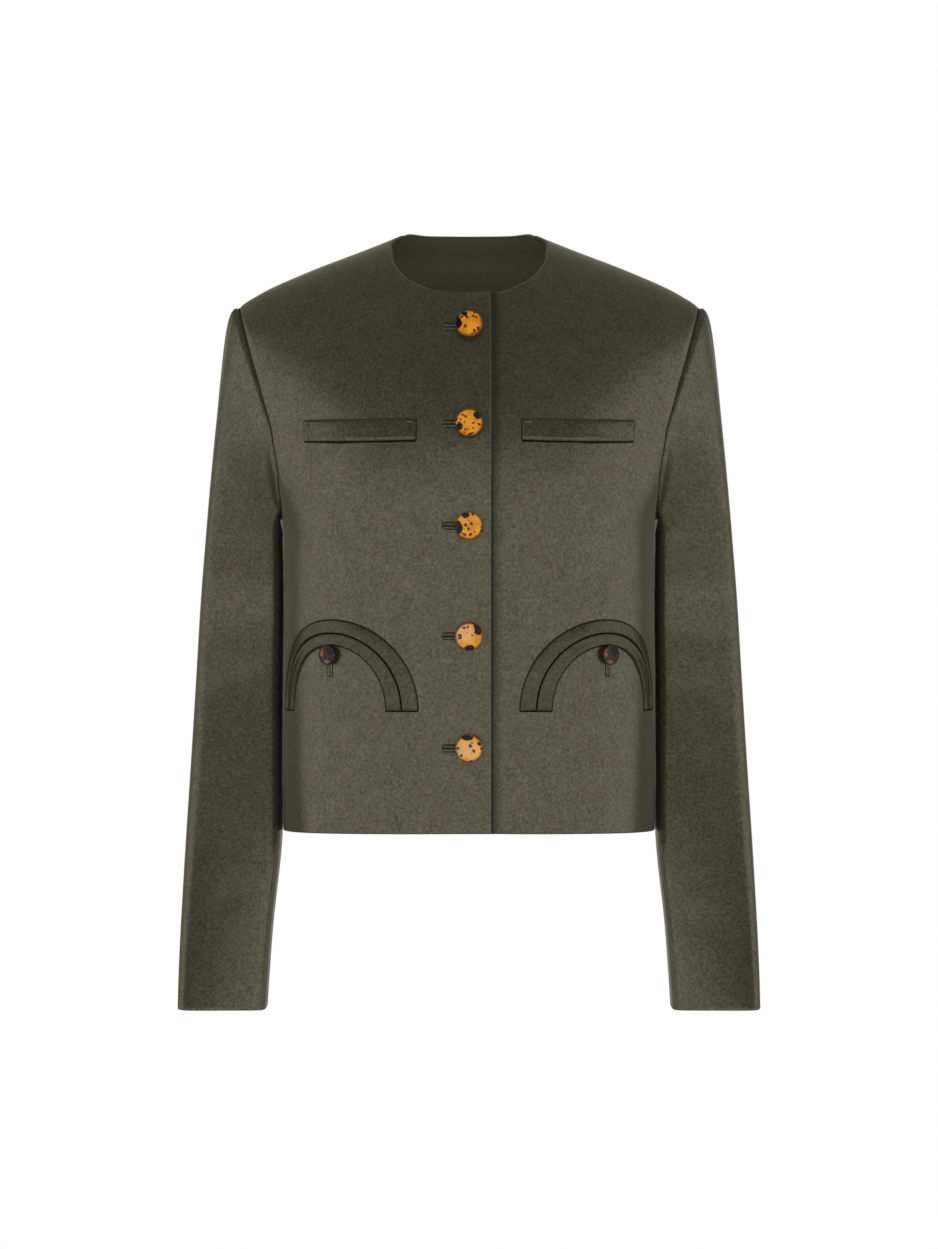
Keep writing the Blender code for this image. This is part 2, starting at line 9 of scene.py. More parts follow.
import bpy
import numpy as np
from mathutils.kdtree import KDTree
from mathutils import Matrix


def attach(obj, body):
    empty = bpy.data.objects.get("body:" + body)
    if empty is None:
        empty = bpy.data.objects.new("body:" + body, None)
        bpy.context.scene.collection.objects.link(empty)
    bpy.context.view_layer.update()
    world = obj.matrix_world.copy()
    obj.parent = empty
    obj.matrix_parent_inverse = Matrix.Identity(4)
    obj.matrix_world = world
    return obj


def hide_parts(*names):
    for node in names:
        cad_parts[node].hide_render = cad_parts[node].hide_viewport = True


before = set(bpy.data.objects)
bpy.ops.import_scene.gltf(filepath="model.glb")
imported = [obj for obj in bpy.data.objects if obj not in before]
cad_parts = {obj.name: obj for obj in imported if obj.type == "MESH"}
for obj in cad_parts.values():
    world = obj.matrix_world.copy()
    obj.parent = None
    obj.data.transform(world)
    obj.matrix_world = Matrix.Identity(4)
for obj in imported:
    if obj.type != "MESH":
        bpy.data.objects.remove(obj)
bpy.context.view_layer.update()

MM = 0.001
SIDES = {"right": -1, "left": 1}

# Cloth: its thickness, the gap at a seam, and the distance between points of each panel's net.
CLOTH = 2.0
SEAM_GAP = 0.06
PANEL_SPACING = 2.4
SLEEVE_SPACING = 3.2
BACK_SPACING = 3.6

# Lap of the right front over the left: width past the centre front, clearance, the flat and the ramp
# by which the left front steps inward, and the strength, width and tone of the lap's painted shadow.
LAP = 19.0
LAP_GAP = 0.8
LAP_FLAT = 2.0
LAP_RAMP = 22.0
LAP_SHADE = 0.6
LAP_SHADE_WIDTH = 11.0
LAP_SHADE_TONE = 0.1

# Edges: steps round a rolled edge, radius of an edge that turns into a seam, depth and spread of
# the cloth's dip beside a seam, and width and depth of the painted shade laid in an armhole's seam.
RIM_STEPS = 5
SEAM_RADIUS = 1.0
SEAM_DIP = 0.9
SEAM_SPREAD = 2.6
ARMHOLE_LINE = 2.4
ARMHOLE_LINE_DEPTH = 0.4

# Profiles of bands, welts, lips and laid lines: share of the way across, height above the panel.
# A band starts at its far edge, a welt at its lower edge, and lips are measured from the slit.
LAID_BASE = 0.05
UPPER_BAND = (
    (0.0, 0.2), (0.03, 0.5), (0.10, 0.75), (0.50, 1.6),
    (0.88, 2.4), (0.95, 2.45), (0.985, 2.0), (1.0, 0.5),
)
LOWER_BAND = (
    (0.0, 0.5), (0.03, 1.1), (0.08, 1.4), (0.14, 1.1), (0.20, 1.0),
    (0.55, 1.75), (0.90, 2.5), (0.96, 2.4), (1.0, 0.3),
)
WELT = (
    (0.0, 0.7), (0.02, 1.6), (0.07, 2.1), (0.2, 1.9),
    (0.5, 1.6), (0.85, 1.5), (0.96, 1.2), (1.0, 0.2),
)
LIPS = (
    (-0.50, 0.10), (-0.44, 0.60), (-0.30, 0.95), (-0.14, 0.85), (-0.05, 0.40), (0.00, 0.15),
    (0.05, 0.40), (0.14, 0.85), (0.30, 0.95), (0.44, 0.60), (0.50, 0.10),
)
LINE = ((0.0, 0.0), (0.25, 0.8), (0.5, 1.0), (0.75, 0.8), (1.0, 0.0))

# Gap that a band leaves at its lines, how a laid piece thins towards its ends, and over what length.
BAND_GAP = 0.5
END_TAPER = (0.3, 0.85)
END_INSET = 0.8

# Steps along curved bands, welts, lips and band ends, and round small closed lines, and how square
# the line round a buttonhole is: 1 is round.
ARCH_STEPS = 72
WELT_STEPS = 44
LIP_STEPS = 14
END_STEPS = 12
ROUND_STEPS = 60
CORNER_POWER = 0.3

# Breast welts: girth distance from the centre front, length, the two edges' heights, the sag of
# the free lower edge, and the height of its crest above the panel.
CHEST_WELT_START = 45.0
CHEST_WELT_LENGTH = 101.5
CHEST_WELT_TOP = -167.0
CHEST_WELT_BOTTOM = -185.0
CHEST_WELT_SAG = 0.7
WELT_TOP = 2.1
# Girth and height of the far end's round tack, and of the near end's pale stitch.
TACK = (141.5, -171.5)
TACK_RADIUS = 1.5
PALE_STITCH = ((47.5, -170.2), (53.0, -169.4))
# Widths of the painted shadow under the welt's free edge, and how far the lines lie outside the welt's
# edges.
CHEST_SHADOW_WIDTHS = (2.3, 1.7, 2.2, 1.6, 1.5, 1.9, 2.4, 1.8, 1.6, 1.3)
CHEST_SHADOW_DROP = 0.5
CHEST_SEAM_RISE = 0.2
CHEST_END_OUT = 0.3

# Half-moon pockets: girth distance of the axis from the centre front, height of the square-cut
# ends, and the half width and rise of the three lines that bound the two bands.
POCKET_AXIS = 121.0
POCKET_BASE = -413.5
POCKET_END_DROP = 0.4
POCKET_OUTER = (78.0, 77.0)
POCKET_OPENING = (64.0, 65.5)
POCKET_INNER = (50.5, 55.0)
POCKET_BUTTON_GIRTH = 122.0
POCKET_BUTTON_HEIGHT = -366.0

# Bound buttonholes: length along the slit, height over both lips, how far it runs past the shank.
BUTTONHOLE_LENGTH = 27.0
BUTTONHOLE_HEIGHT = 6.0
BUTTONHOLE_PAST_SHANK = 4.5
POCKET_BUTTONHOLE_LENGTH = 22.0
POCKET_BUTTONHOLE_WIDTH = 5.0
POCKET_BUTTONHOLE_RISE = 3.0

# Laid lines: width and height above the panel. All but the tack and the stitch are painted shade.
LAP_SHADOW_LINE = (2.0, 0.15)
SLIT_LINE = (0.8, 0.35)
BUTTONHOLE_LINE = (0.8, 0.3)
POCKET_SEAM_LINE = (1.1, 0.4)
POCKET_MOUTH_LINE = (1.9, 0.4)
POCKET_HEM_LINE = (1.3, 0.4)
POCKET_END_LINE = (1.4, 0.4)
CHEST_SEAM_LINE = (0.6, 0.3)
CHEST_END_LINE = (0.9, 0.5)
CHEST_SHADOW_TOP = 0.5
TACK_LINE = (0.6, WELT_TOP)
STITCH_LINE = (0.9, WELT_TOP)

# Buttons: heights on the centre front, sizes, how upright the head hangs, and the turned outline.
BUTTON_HEIGHTS = (-87.5, -171.5, -257.5, -350.5, -445.0)
BUTTON_DIAMETER = 23.6
POCKET_BUTTON_DIAMETER = 17.5
BUTTON_SIDES = 56
BUTTON_SEAT = 1.3
BUTTON_HANG = 0.6
# Columns: radius as a share of the button's radius, height above the seat in millimetres.
BUTTON_OUTLINE = (
    (0.00, 0.00), (0.23, 0.00), (0.24, 0.40), (0.24, 1.50), (0.50, 1.60), (0.78, 1.85), (0.92, 2.45),
    (0.985, 3.10), (1.00, 3.75), (0.985, 4.40), (0.95, 4.82), (0.91, 4.95), (0.87, 4.84), (0.83, 4.66),
    (0.70, 4.74), (0.45, 4.98), (0.22, 5.08), (0.00, 5.10),
)

# Large clouds in the tortoiseshell, in button radii from the middle: tone, place, half sizes.
Cloud = namedtuple("Cloud", "tone x y half_width half_height")
BUTTON_CLOUDS = (
    (
        Cloud("dark", -0.86, 0.0, 0.36, 0.5),
        Cloud("dark", -0.35, 0.72, 0.24, 0.18),
    ),
    (
        Cloud("dark", 0.62, 0.55, 0.36, 0.30),
        Cloud("dark", -0.76, -0.32, 0.3, 0.28),
    ),
    (
        Cloud("dark", -0.80, -0.15, 0.34, 0.52),
        Cloud("dark", -0.25, 0.74, 0.3, 0.2),
    ),
    (
        Cloud("cream", -0.35, 0.25, 0.95, 0.85),
        Cloud("dark", 0.62, 0.52, 0.3, 0.44),
        Cloud("dark", 0.04, -0.85, 0.38, 0.28),
    ),
    (
        Cloud("cream", 0.0, -0.1, 1.2, 1.0),
        Cloud("dark", -0.1, 0.78, 0.42, 0.2),
        Cloud("dark", 0.72, 0.35, 0.14, 0.14),
    ),
)
POCKET_BUTTON_CLOUDS = (
    Cloud("cream", -0.1, -0.75, 0.5, 0.34),
    Cloud("cream", -0.6, 0.1, 0.2, 0.5),
    Cloud("dark", 0.4, 0.4, 0.55, 0.5),
)

# Main creases: which side they show on (-1 the front, 1 the back), three places of the line as
# distance from the centre and height, depth and half width.
Fold = namedtuple("Fold", "face start bend end depth width")
FOLDS = {
    "front_right": (
        Fold(-1, (-158.0, -238.0), (-128.0, -262.0), (-104.0, -318.0), 0.40, 13.0),
        Fold(-1, (-44.0, -424.0), (-52.0, -470.0), (-48.0, -517.0), 0.30, 15.0),
        Fold(-1, (-72.0, -70.0), (-112.0, -88.0), (-150.0, -132.0), 0.45, 15.0),
    ),
    "front_left": (
        Fold(-1, (158.0, -244.0), (134.0, -258.0), (98.0, -300.0), 0.35, 14.0),
        Fold(-1, (136.0, -424.0), (128.0, -470.0), (134.0, -517.0), 0.40, 14.0),
        Fold(-1, (66.0, -76.0), (100.0, -100.0), (152.0, -124.0), 0.40, 17.0),
    ),
    "sleeve_right": (
        Fold(-1, (-192.0, -176.0), (-204.0, -204.0), (-211.0, -250.0), 0.15, 14.0),
        Fold(-1, (-164.0, -330.0), (-188.0, -332.0), (-216.0, -352.0), 0.45, 11.0),
        Fold(-1, (-166.0, -372.0), (-192.0, -392.0), (-226.0, -386.0), 0.35, 13.0),
        Fold(-1, (-178.0, -566.0), (-206.0, -572.0), (-240.0, -602.0), 0.40, 14.0),
        Fold(1, (-170.0, -300.0), (-200.0, -322.0), (-228.0, -316.0), 0.80, 12.0),
        Fold(1, (-168.0, -346.0), (-196.0, -338.0), (-230.0, -356.0), 0.60, 12.0),
    ),
    "sleeve_left": (
        Fold(-1, (194.0, -184.0), (203.0, -214.0), (207.0, -260.0), 0.15, 14.0),
        Fold(-1, (164.0, -344.0), (190.0, -342.0), (222.0, -366.0), 0.50, 12.0),
        Fold(-1, (170.0, -452.0), (196.0, -470.0), (232.0, -464.0), 0.30, 14.0),
        Fold(-1, (176.0, -596.0), (204.0, -590.0), (242.0, -616.0), 0.40, 13.0),
        Fold(1, (170.0, -312.0), (198.0, -326.0), (230.0, -318.0), 0.70, 13.0),
        Fold(1, (166.0, -360.0), (198.0, -350.0), (232.0, -372.0), 0.60, 12.0),
    ),
    "back": (
        Fold(1, (-158.0, -236.0), (-120.0, -262.0), (-92.0, -330.0), 0.70, 15.0),
        Fold(1, (158.0, -240.0), (126.0, -258.0), (86.0, -312.0), 0.60, 16.0),
        Fold(1, (-30.0, -60.0), (-84.0, -74.0), (-150.0, -120.0), 0.45, 16.0),
        Fold(1, (24.0, -372.0), (30.0, -440.0), (18.0, -515.0), 0.50, 18.0),
        Fold(1, (-96.0, -400.0), (-92.0, -450.0), (-102.0, -515.0), 0.45, 16.0),
    ),
}
FOLD_STEPS = 24

# Level slices of the body from below the hem to above the neck edge: height, half width at the
# side, how far forward or back the side, the centre front and the centre back lie, and how full
# the quarter between them is: a third is straight. From the underarm up to the shoulder tip the
# slices run on past the armhole edge, which cuts them off.
Slice = namedtuple("Slice", "z half_width side front back full")
BODY = (
    Slice(-530.0, 161.5, 2.0, -124.0, 108.0, 0.72),
    Slice(-465.0, 161.5, 2.0, -124.8, 107.2, 0.72),
    Slice(-400.0, 161.4, 2.0, -126.3, 107.2, 0.72),
    Slice(-340.0, 161.1, 2.0, -129.0, 108.6, 0.72),
    Slice(-290.0, 160.8, 2.0, -131.2, 110.7, 0.72),
    Slice(-250.0, 162.5, 2.0, -132.0, 113.0, 0.70),
    Slice(-216.0, 181.0, 2.5, -130.8, 114.6, 0.62),
    Slice(-180.0, 206.0, 3.5, -126.4, 114.2, 0.52),
    Slice(-146.5, 224.0, 4.5, -118.8, 112.4, 0.46),
    Slice(-117.5, 231.0, 5.5, -108.8, 109.6, 0.43),
    Slice(-97.0, 229.0, 6.3, -99.5, 106.8, 0.42),
    Slice(-83.5, 222.0, 7.0, -92.8, 104.5, 0.42),
    Slice(-74.0, 213.5, 7.5, -87.8, 102.7, 0.42),
    Slice(-64.4, 200.5, 8.0, -82.5, 100.5, 0.43),
    Slice(-56.7, 189.0, 8.6, -78.0, 98.3, 0.44),
    Slice(-46.2, 169.6, 9.5, -71.0, 94.8, 0.46),
    Slice(-30.4, 132.8, 11.0, -59.0, 87.5, 0.50),
    Slice(-15.4, 93.5, 12.4, -46.0, 76.0, 0.54),
    Slice(0.0, 55.5, 14.0, -29.0, 52.5, 0.56),
    Slice(14.0, 24.0, 15.5, -8.0, 30.0, 0.56),
)

# Sections of one half, from the front hem over the shoulder to the back hem.
# Distance from the centre line and height of the two ends: the inner one is on the centre line or
# neck edge, the outer one on the side seam or armhole edge.
Section = namedtuple("Section", "name inner outer")
SECTIONS = (
    Section("front hem", (0.0, -517.5), (162.0, -519.0)),
    Section("front waist", (0.0, -410.0), (162.0, -410.0)),
    Section("front ribs", (0.0, -325.0), (162.0, -325.0)),
    Section("front underarm", (0.0, -245.0), (163.0, -250.0)),
    Section("front scye low", (0.0, -205.0), (161.8, -242.5)),
    Section("front chest", (0.0, -167.0), (163.9, -216.0)),
    Section("front upper chest", (0.0, -130.0), (169.3, -180.0)),
    Section("front below neck", (0.0, -94.0), (177.8, -146.5)),
    Section("front neck", (0.0, -56.5), (186.1, -117.5)),
    Section("front neck curve", (30.0, -54.3), (191.9, -97.0)),
    Section("front neck side", (52.0, -44.3), (195.6, -83.5)),
    Section("neck side low", (64.0, -29.8), (198.2, -74.0)),
    Section("neck side high", (67.0, -14.5), (199.8, -67.5)),
    Section("shoulder", (55.5, 0.0), (200.5, -64.4)),
    Section("back neck curve", (33.0, 1.2), (199.9, -67.0)),
    Section("back neck", (0.0, 1.5), (197.8, -73.0)),
    Section("back below neck", (0.0, -26.0), (193.0, -88.0)),
    Section("back blade top", (0.0, -62.0), (187.0, -112.0)),
    Section("back blade", (0.0, -105.0), (181.0, -144.0)),
    Section("back chest", (0.0, -150.0), (174.0, -180.0)),
    Section("back scye low", (0.0, -198.0), (166.5, -216.0)),
    Section("back scye end", (0.0, -225.0), (162.3, -242.5)),
    Section("back underarm", (0.0, -250.0), (163.0, -250.0)),
    Section("back ribs", (0.0, -325.0), (162.0, -325.0)),
    Section("back waist", (0.0, -410.0), (162.0, -410.0)),
    Section("back hem", (0.0, -517.5), (162.0, -519.0)),
)
NAMES = [section.name for section in SECTIONS]
FRONT_WAIST = NAMES.index("front waist")
FRONT_UNDERARM = NAMES.index("front underarm")
FRONT_NECK = NAMES.index("front neck")
SHOULDER = NAMES.index("shoulder")
BACK_NECK = NAMES.index("back neck")
BACK_UNDERARM = NAMES.index("back underarm")
BACK_WAIST = NAMES.index("back waist")
BACK_HEM = NAMES.index("back hem")

# Sleeve rings from the upper arm to the cuff; slant lifts the outer side of a ring, tuck carries
# its inner back behind the body, and turn brings its outer side forward.
Ring = namedtuple("Ring", "z x y half_width half_depth slant tuck turn")
SLEEVE = (
    Ring(-262.0, 195.4, 24.0, 33.4, 49.0, 0.00, 14.0, 0.0),
    Ring(-320.0, 197.7, 32.0, 36.2, 47.5, 0.00, 15.0, 0.0),
    Ring(-390.0, 199.9, 25.0, 37.8, 47.5, 0.00, 14.0, 0.0),
    Ring(-460.0, 201.8, 11.5, 39.5, 46.5, 0.00, 10.0, 0.0),
    Ring(-528.0, 203.8, -2.8, 41.1, 45.8, 0.00, 3.0, 1.0),
    Ring(-596.6, 208.6, -18.0, 39.2, 45.0, 0.00, 0.0, 6.0),
    Ring(-638.3, 210.7, -27.5, 38.2, 44.5, 0.02, 0.0, 10.0),
    Ring(-669.9, 211.8, -34.5, 37.4, 44.5, 0.03, 0.0, 13.0),
)
# How full the quarters of a ring are, and how square its two front corners.
SLEEVE_FULL = 0.98
SLEEVE_BACK_FULL = 0.84
SLEEVE_OUTER_SQUARENESS = 6.0
SLEEVE_INNER_SQUARENESS = 8.0

# Sleeve head round the armhole: share of the way from shoulder to underarm, how far the head
# rolls out, the roll's spread away from the armhole's middle, and the share of the drop it hangs.
Cap = namedtuple("Cap", "way roll spread hang")
SLEEVE_CAP = (
    Cap(0.00, 12.5, 0.10, 0.87),
    Cap(0.25, 10.0, 0.16, 0.78),
    Cap(0.50, 10.0, 0.26, 0.62),
    Cap(0.75, 7.0, 0.24, 0.50),
    Cap(1.00, 3.0, 0.00, 0.35),
)
CAP_OUTWARD = (0.97, 0.0, -0.24)
CAP_ROWS = 26
# How far the head runs on from the body's own slope, at shares of the way.
HEAD_WAYS = (0.0, 0.07, 0.6, 0.8, 1.0)
HEAD_FOLLOWS = (0.0, 1.0, 1.0, 0.5, 0.0)
# Fullness of the sleeve head beside its seam: how far it stands out, rises and fades.
HEAD_FULLNESS = 0.9
HEAD_RISE = 2.5
HEAD_FADE = 25.0

# Turn at the centre back, steps for measuring along curves, and the small steps by which slopes
# are taken.
CENTRE_BACK = 2
FINE_STEPS = 240
TURNS = np.linspace(0.0, 1.0, FINE_STEPS + 1)
STEP = 1e-3
RISE_STEP = 0.2

# Colours of the cloth and of the tortoiseshell.
OLIVE = (0.098, 0.091, 0.062)
REVERSE = (0.100, 0.092, 0.053)
AMBER = (0.95, 0.39, 0.028)
CREAM = (0.92, 0.55, 0.26)
BROWN = (0.012, 0.008, 0.007)
FLECK = (0.13, 0.018, 0.002)
DARK_AMBER = (0.045, 0.026, 0.019)
DEEP_AMBER = (0.34, 0.17, 0.075)

# Noise of the finishes: scale, detail and roughness.
GRAIN = (420.0, 2.0, 0.7)
MOTTLE = (60.0, 3.0, 0.6)
HUE = (240.0, 2.0, 0.6)
THREAD_AND_SHADE_GRAIN = (700.0, 2.0, 0.5)
CLOUDINESS = (1.6, 2.0, 0.5)

# Satin: how strongly grain and mottle show, its darkest and palest tone, the tints that its hue
# changes between, and its sheen and gloss.
GRAIN_SHOWS = 1.5
MOTTLE_SHOWS = 0.35
SATIN_TONES = (0.4, 1.6)
REVERSE_TONES = (1.5, 2.4)
THREAD_AND_SHADE_TONES = (0.6, 1.4)
COOL_TINT = (0.88, 1.08, 0.96)
WARM_TINT = (1.12, 0.93, 1.03)
SLEEVE_SHEEN = 0.06
BODY_SHEEN = 0.3
SHEEN_TINT = (1.0, 0.94, 0.68)
GLOSS_TINT = (0.45, 0.43, 0.33)

# Tortoiseshell: waves that bend it, and where its ground, flecks, clouds and rim begin and end,
# how strongly each shows, and the tone of the darker ground and rim.
WAVE_SCALE = 3.0
WAVE_REACH = 0.3
GROUND_EDGE = (0.4, 0.7)
GROUND_TONE = 0.7
FLECK_SCALE = 2.6
FLECK_EDGE = (0.28, 0.40)
FLECK_SHOWS = 0.95
CREAM_EDGE = (0.4, 1.1)
CREAM_SHOWS = 0.6
DARK_EDGE = (0.85, 1.1)
RIM_EDGE = (0.80, 0.96)
RIM_SHOWS = 0.8
RIM_TONE = 0.45
# How far the pattern moves on from one button to the next.
BUTTON_SHIFT = 1.3
POCKET_BUTTON_SHIFT = 0.7

# Light of the room: heights between which the bright band fades at its top and bottom, where and
# how fast it rises at the sides, how it fades to the back, and its strengths.
LIGHT_TOP = (0.19, 0.38)
LIGHT_SIDE_FROM = 0.62
LIGHT_SIDE_RISE = 1.6
LIGHT_BOTTOM = (-0.50, -0.12)
LIGHT_BACK = (0.0, 0.85)
LIGHT_BAND = 1.0
LIGHT_BELOW = 0.4
LIGHT_BEHIND = 0.3
LIGHT_ABOVE = 0.21
WHITE = (1.0, 1.0, 1.0)

# Floor under a standing wearer.
FLOOR_HEIGHT = -1400.0
FLOOR_RADIUS = 1400.0
FLOOR_SIDES = 96
FLOOR_COLOUR = (0.85, 0.85, 0.85)
FLOOR_GLOW = 0.7

# The photograph's camera.
PHOTO_SIZE = (938, 1249)
MM_PER_PIXEL = 0.87
CAMERA_DISTANCE = 4000.0
CAMERA_HEIGHT = -340.6
SENSOR = 36.0


class Socket:
    """A value in a material; arithmetic on it adds Math nodes."""

    def __init__(self, finish, link):
        self.finish = finish
        self.link = link

    def maths(self, operation, *values):
        """One Math node on these values."""
        return self.finish.node("ShaderNodeMath", {"operation": operation}, dict(enumerate(values)))

    def __add__(self, other):
        return self.maths("ADD", self, other)

    def __sub__(self, other):
        return self.maths("SUBTRACT", self, other)

    def __rsub__(self, other):
        return self.maths("SUBTRACT", other, self)

    def __mul__(self, other):
        return self.maths("MULTIPLY", self, other)

    __radd__ = __add__
    __rmul__ = __mul__


class Finish:
    """The nodes of a material or of the world."""

    def __init__(self, owner):
        owner.use_nodes = True
        self.owner = owner
        self.tree = owner.node_tree

    def node(self, kind, settings, inputs, output=0):
        """One node: its settings, then the values or links of its sockets."""
        made = self.tree.nodes.new(kind)
        for key, value in settings.items():
            setattr(made, key, value)
        self.feed(made, inputs)
        return Socket(self, made.outputs[output])

    def feed(self, made, inputs):
        """Links or sets the sockets of a node."""
        for key, value in inputs.items():
            if isinstance(value, Socket):
                self.tree.links.new(value.link, made.inputs[key])
            else:
                made.inputs[key].default_value = value

    def surface(self, inputs):
        """Feeds the shader of a material, and gives the material."""
        self.feed(self.tree.nodes["Principled BSDF"], inputs)
        return self.owner

    def place(self, kind):
        """The place of a point, in one of Blender's kinds of coordinates."""
        return self.node("ShaderNodeTexCoord", {}, {}, kind)

    def along(self, place, axis):
        """One coordinate of a place."""
        return self.node("ShaderNodeSeparateXYZ", {}, {0: place}, axis)

    def vector(self, operation, *values):
        """Arithmetic on places."""
        return self.node("ShaderNodeVectorMath", {"operation": operation}, dict(enumerate(values)))

    def distance(self, place):
        """Distance of a place from the middle."""
        return self.node("ShaderNodeVectorMath", {"operation": "LENGTH"}, {0: place}, 1)

    def colour_mix(self, share, first, second, blend="MIX"):
        """Two colours mixed by a share."""
        settings = {"data_type": "RGBA", "blend_type": blend}
        return self.node("ShaderNodeMix", settings, {0: share, 6: first, 7: second}, 2)

    def step(self, value, low, high):
        """0 below low, 1 above high, and smooth between."""
        settings = {"interpolation_type": "SMOOTHSTEP"}
        return self.node("ShaderNodeMapRange", settings, {0: value, 1: low, 2: high})

    def cloud(self, place, cloud, edge):
        """1 inside an oval of a button's face, fading to 0 over the edge."""
        lie = self.vector("SUBTRACT", place, (cloud.x, cloud.y, 0.0))
        lie = self.vector("DIVIDE", lie, (cloud.half_width, cloud.half_height, 1.0))
        return 1 - self.step(self.distance(lie), *edge)

    def noise(self, place, scale, detail, roughness):
        """Soft noise from 0 to 1."""
        inputs = {"Vector": place, "Scale": scale, "Detail": detail, "Roughness": roughness}
        return self.node("ShaderNodeTexNoise", {}, inputs)


def shade(colour, amount=1.0):
    """A colour as a socket takes it."""
    return tuple(channel * amount for channel in colour) + (1.0,)


def shades(colour, amounts):
    """The darkest and the palest of a colour."""
    return [shade(colour, amount) for amount in amounts]


def satin_finish(name, brightness=1.0, sheen=SLEEVE_SHEEN, painted_lap_shade=False):
    """Dark olive satin with a fine mottled grain; on the left front, a painted shadow beside the lap.
    """
    finish = Finish(bpy.data.materials.new(name))
    place = finish.place("Object")
    grain = finish.noise(place, *GRAIN)
    mottle = finish.noise(place, *MOTTLE)
    hue = finish.noise(place, *HUE)
    light = (grain - 0.5) * GRAIN_SHOWS + (mottle - 0.5) * MOTTLE_SHOWS + 0.5
    plain = finish.colour_mix(light, *shades(OLIVE, [tone * brightness for tone in SATIN_TONES]))
    tint = finish.colour_mix(hue, shade(COOL_TINT), shade(WARM_TINT))
    colour = finish.colour_mix(1.0, plain, tint, "MULTIPLY")
    # Painted shadow: the left front darkens beside the edge of the right front that laps over it.
    if painted_lap_shade:
        beside = finish.step(finish.along(place, "X"), LAP * MM, (LAP + LAP_SHADE_WIDTH) * MM)
        colour = finish.colour_mix((1 - beside) * LAP_SHADE, colour, shade(OLIVE, LAP_SHADE_TONE))
    bump = finish.node("ShaderNodeBump", {}, {"Strength": 0.25, "Distance": 0.0006, "Height": grain})
    return finish.surface({
        "Base Color": colour,
        "Metallic": 0.6,
        "Roughness": 0.27,
        "Specular IOR Level": 0.4,
        "Specular Tint": shade(GLOSS_TINT),
        "Sheen Weight": sheen,
        "Sheen Roughness": 0.45,
        "Sheen Tint": shade(SHEEN_TINT),
        "Normal": bump,
    })


def reverse_finish(name):
    """The dull reverse of the satin."""
    finish = Finish(bpy.data.materials.new(name))
    grain = finish.noise(finish.place("Object"), *GRAIN)
    colour = finish.colour_mix(grain, *shades(REVERSE, REVERSE_TONES))
    return finish.surface({"Base Color": colour, "Roughness": 0.75, "Specular IOR Level": 0.2})


def thread_and_shade_finish(name, brightness):
    """Dull thread, and strips of painted shade, each of one tone."""
    finish = Finish(bpy.data.materials.new(name))
    grain = finish.noise(finish.place("Object"), *THREAD_AND_SHADE_GRAIN)
    colour = finish.colour_mix(grain, *shades(OLIVE, [tone * brightness for tone in THREAD_AND_SHADE_TONES]))
    return finish.surface({"Base Color": colour, "Roughness": 0.85, "Specular IOR Level": 0.1})


def tortoiseshell_finish(name, clouds, ground, pale, fleck, shift):
    """Polished tortoiseshell: amber with pale and dark clouds, brown flecks and a darker rim."""
    finish = Finish(bpy.data.materials.new(name))
    face = finish.node("ShaderNodeUVMap", {"uv_map": "cut"}, {})
    ripple = {"Vector": face, "Scale": WAVE_SCALE, "Detail": 2.0}
    wave = finish.node("ShaderNodeTexNoise", {}, ripple, "Color")
    wave = finish.vector("MULTIPLY_ADD", wave, (WAVE_REACH,) * 3, (-WAVE_REACH / 2,) * 3)
    bent = finish.vector("ADD", face, wave)
    moved = finish.vector("ADD", bent, (shift, 2 * shift, 0.0))
    spots = {"Vector": moved, "Scale": FLECK_SCALE, "Randomness": 1.0}
    cells = finish.node("ShaderNodeTexVoronoi", {}, spots)
    flecks = 1 - finish.step(cells, *FLECK_EDGE)
    cloudy = finish.step(finish.noise(moved, *CLOUDINESS), *GROUND_EDGE)
    colour = finish.colour_mix(cloudy, shade(ground), shade(ground, GROUND_TONE))
    for cloud in clouds:
        if cloud.tone == "cream":
            inside = finish.cloud(bent, cloud, CREAM_EDGE)
            colour = finish.colour_mix(inside * CREAM_SHOWS, colour, shade(pale))
    colour = finish.colour_mix(flecks * FLECK_SHOWS, colour, shade(fleck))
    for cloud in clouds:
        if cloud.tone == "dark":
            colour = finish.colour_mix(finish.cloud(bent, cloud, DARK_EDGE), colour, shade(BROWN))
    rim = finish.step(finish.distance(face), *RIM_EDGE)
    colour = finish.colour_mix(rim * RIM_SHOWS, colour, shade(fleck, RIM_TONE))
    return finish.surface({
        "Base Color": colour,
        "Roughness": 0.10,
        "Specular IOR Level": 0.12,
        "Coat Weight": 0.1,
        "Coat Roughness": 0.05,
    })


sleeve_satin = satin_finish("olive satin")
body_satin = satin_finish("body satin", sheen=BODY_SHEEN)
lap_shaded_satin = satin_finish("lapped satin", sheen=BODY_SHEEN, painted_lap_shade=True)
satin_reverse = reverse_finish("satin reverse")
# Darker copies of the satin: painted shade for the weaker sheen of the welts, lips and pocket bands.
shaded_welt_satin = satin_finish("shaded welt satin", brightness=0.92)
shaded_band_satin = satin_finish("shaded band satin", brightness=0.7)
# Painted shade in the armhole seam, along the pocket bands' edges and at the welts' ends; also the
# tack's thread.
thread_and_seam_shade = thread_and_shade_finish("dark thread and painted seam shade", brightness=0.26)
# Painted shade along the breast welts' sewn tops, and the painted shadow beside the lap's edge.
painted_edge_shade = thread_and_shade_finish("painted edge shade", brightness=0.45)
# Painted shadow in slits and pocket mouths, round buttonhole lips, under band ends and under the welts'
# free edges.
mouth_shadow = thread_and_shade_finish("painted opening shadow", brightness=0.05)
stitch_thread = thread_and_shade_finish("pale stitch", brightness=2.6)


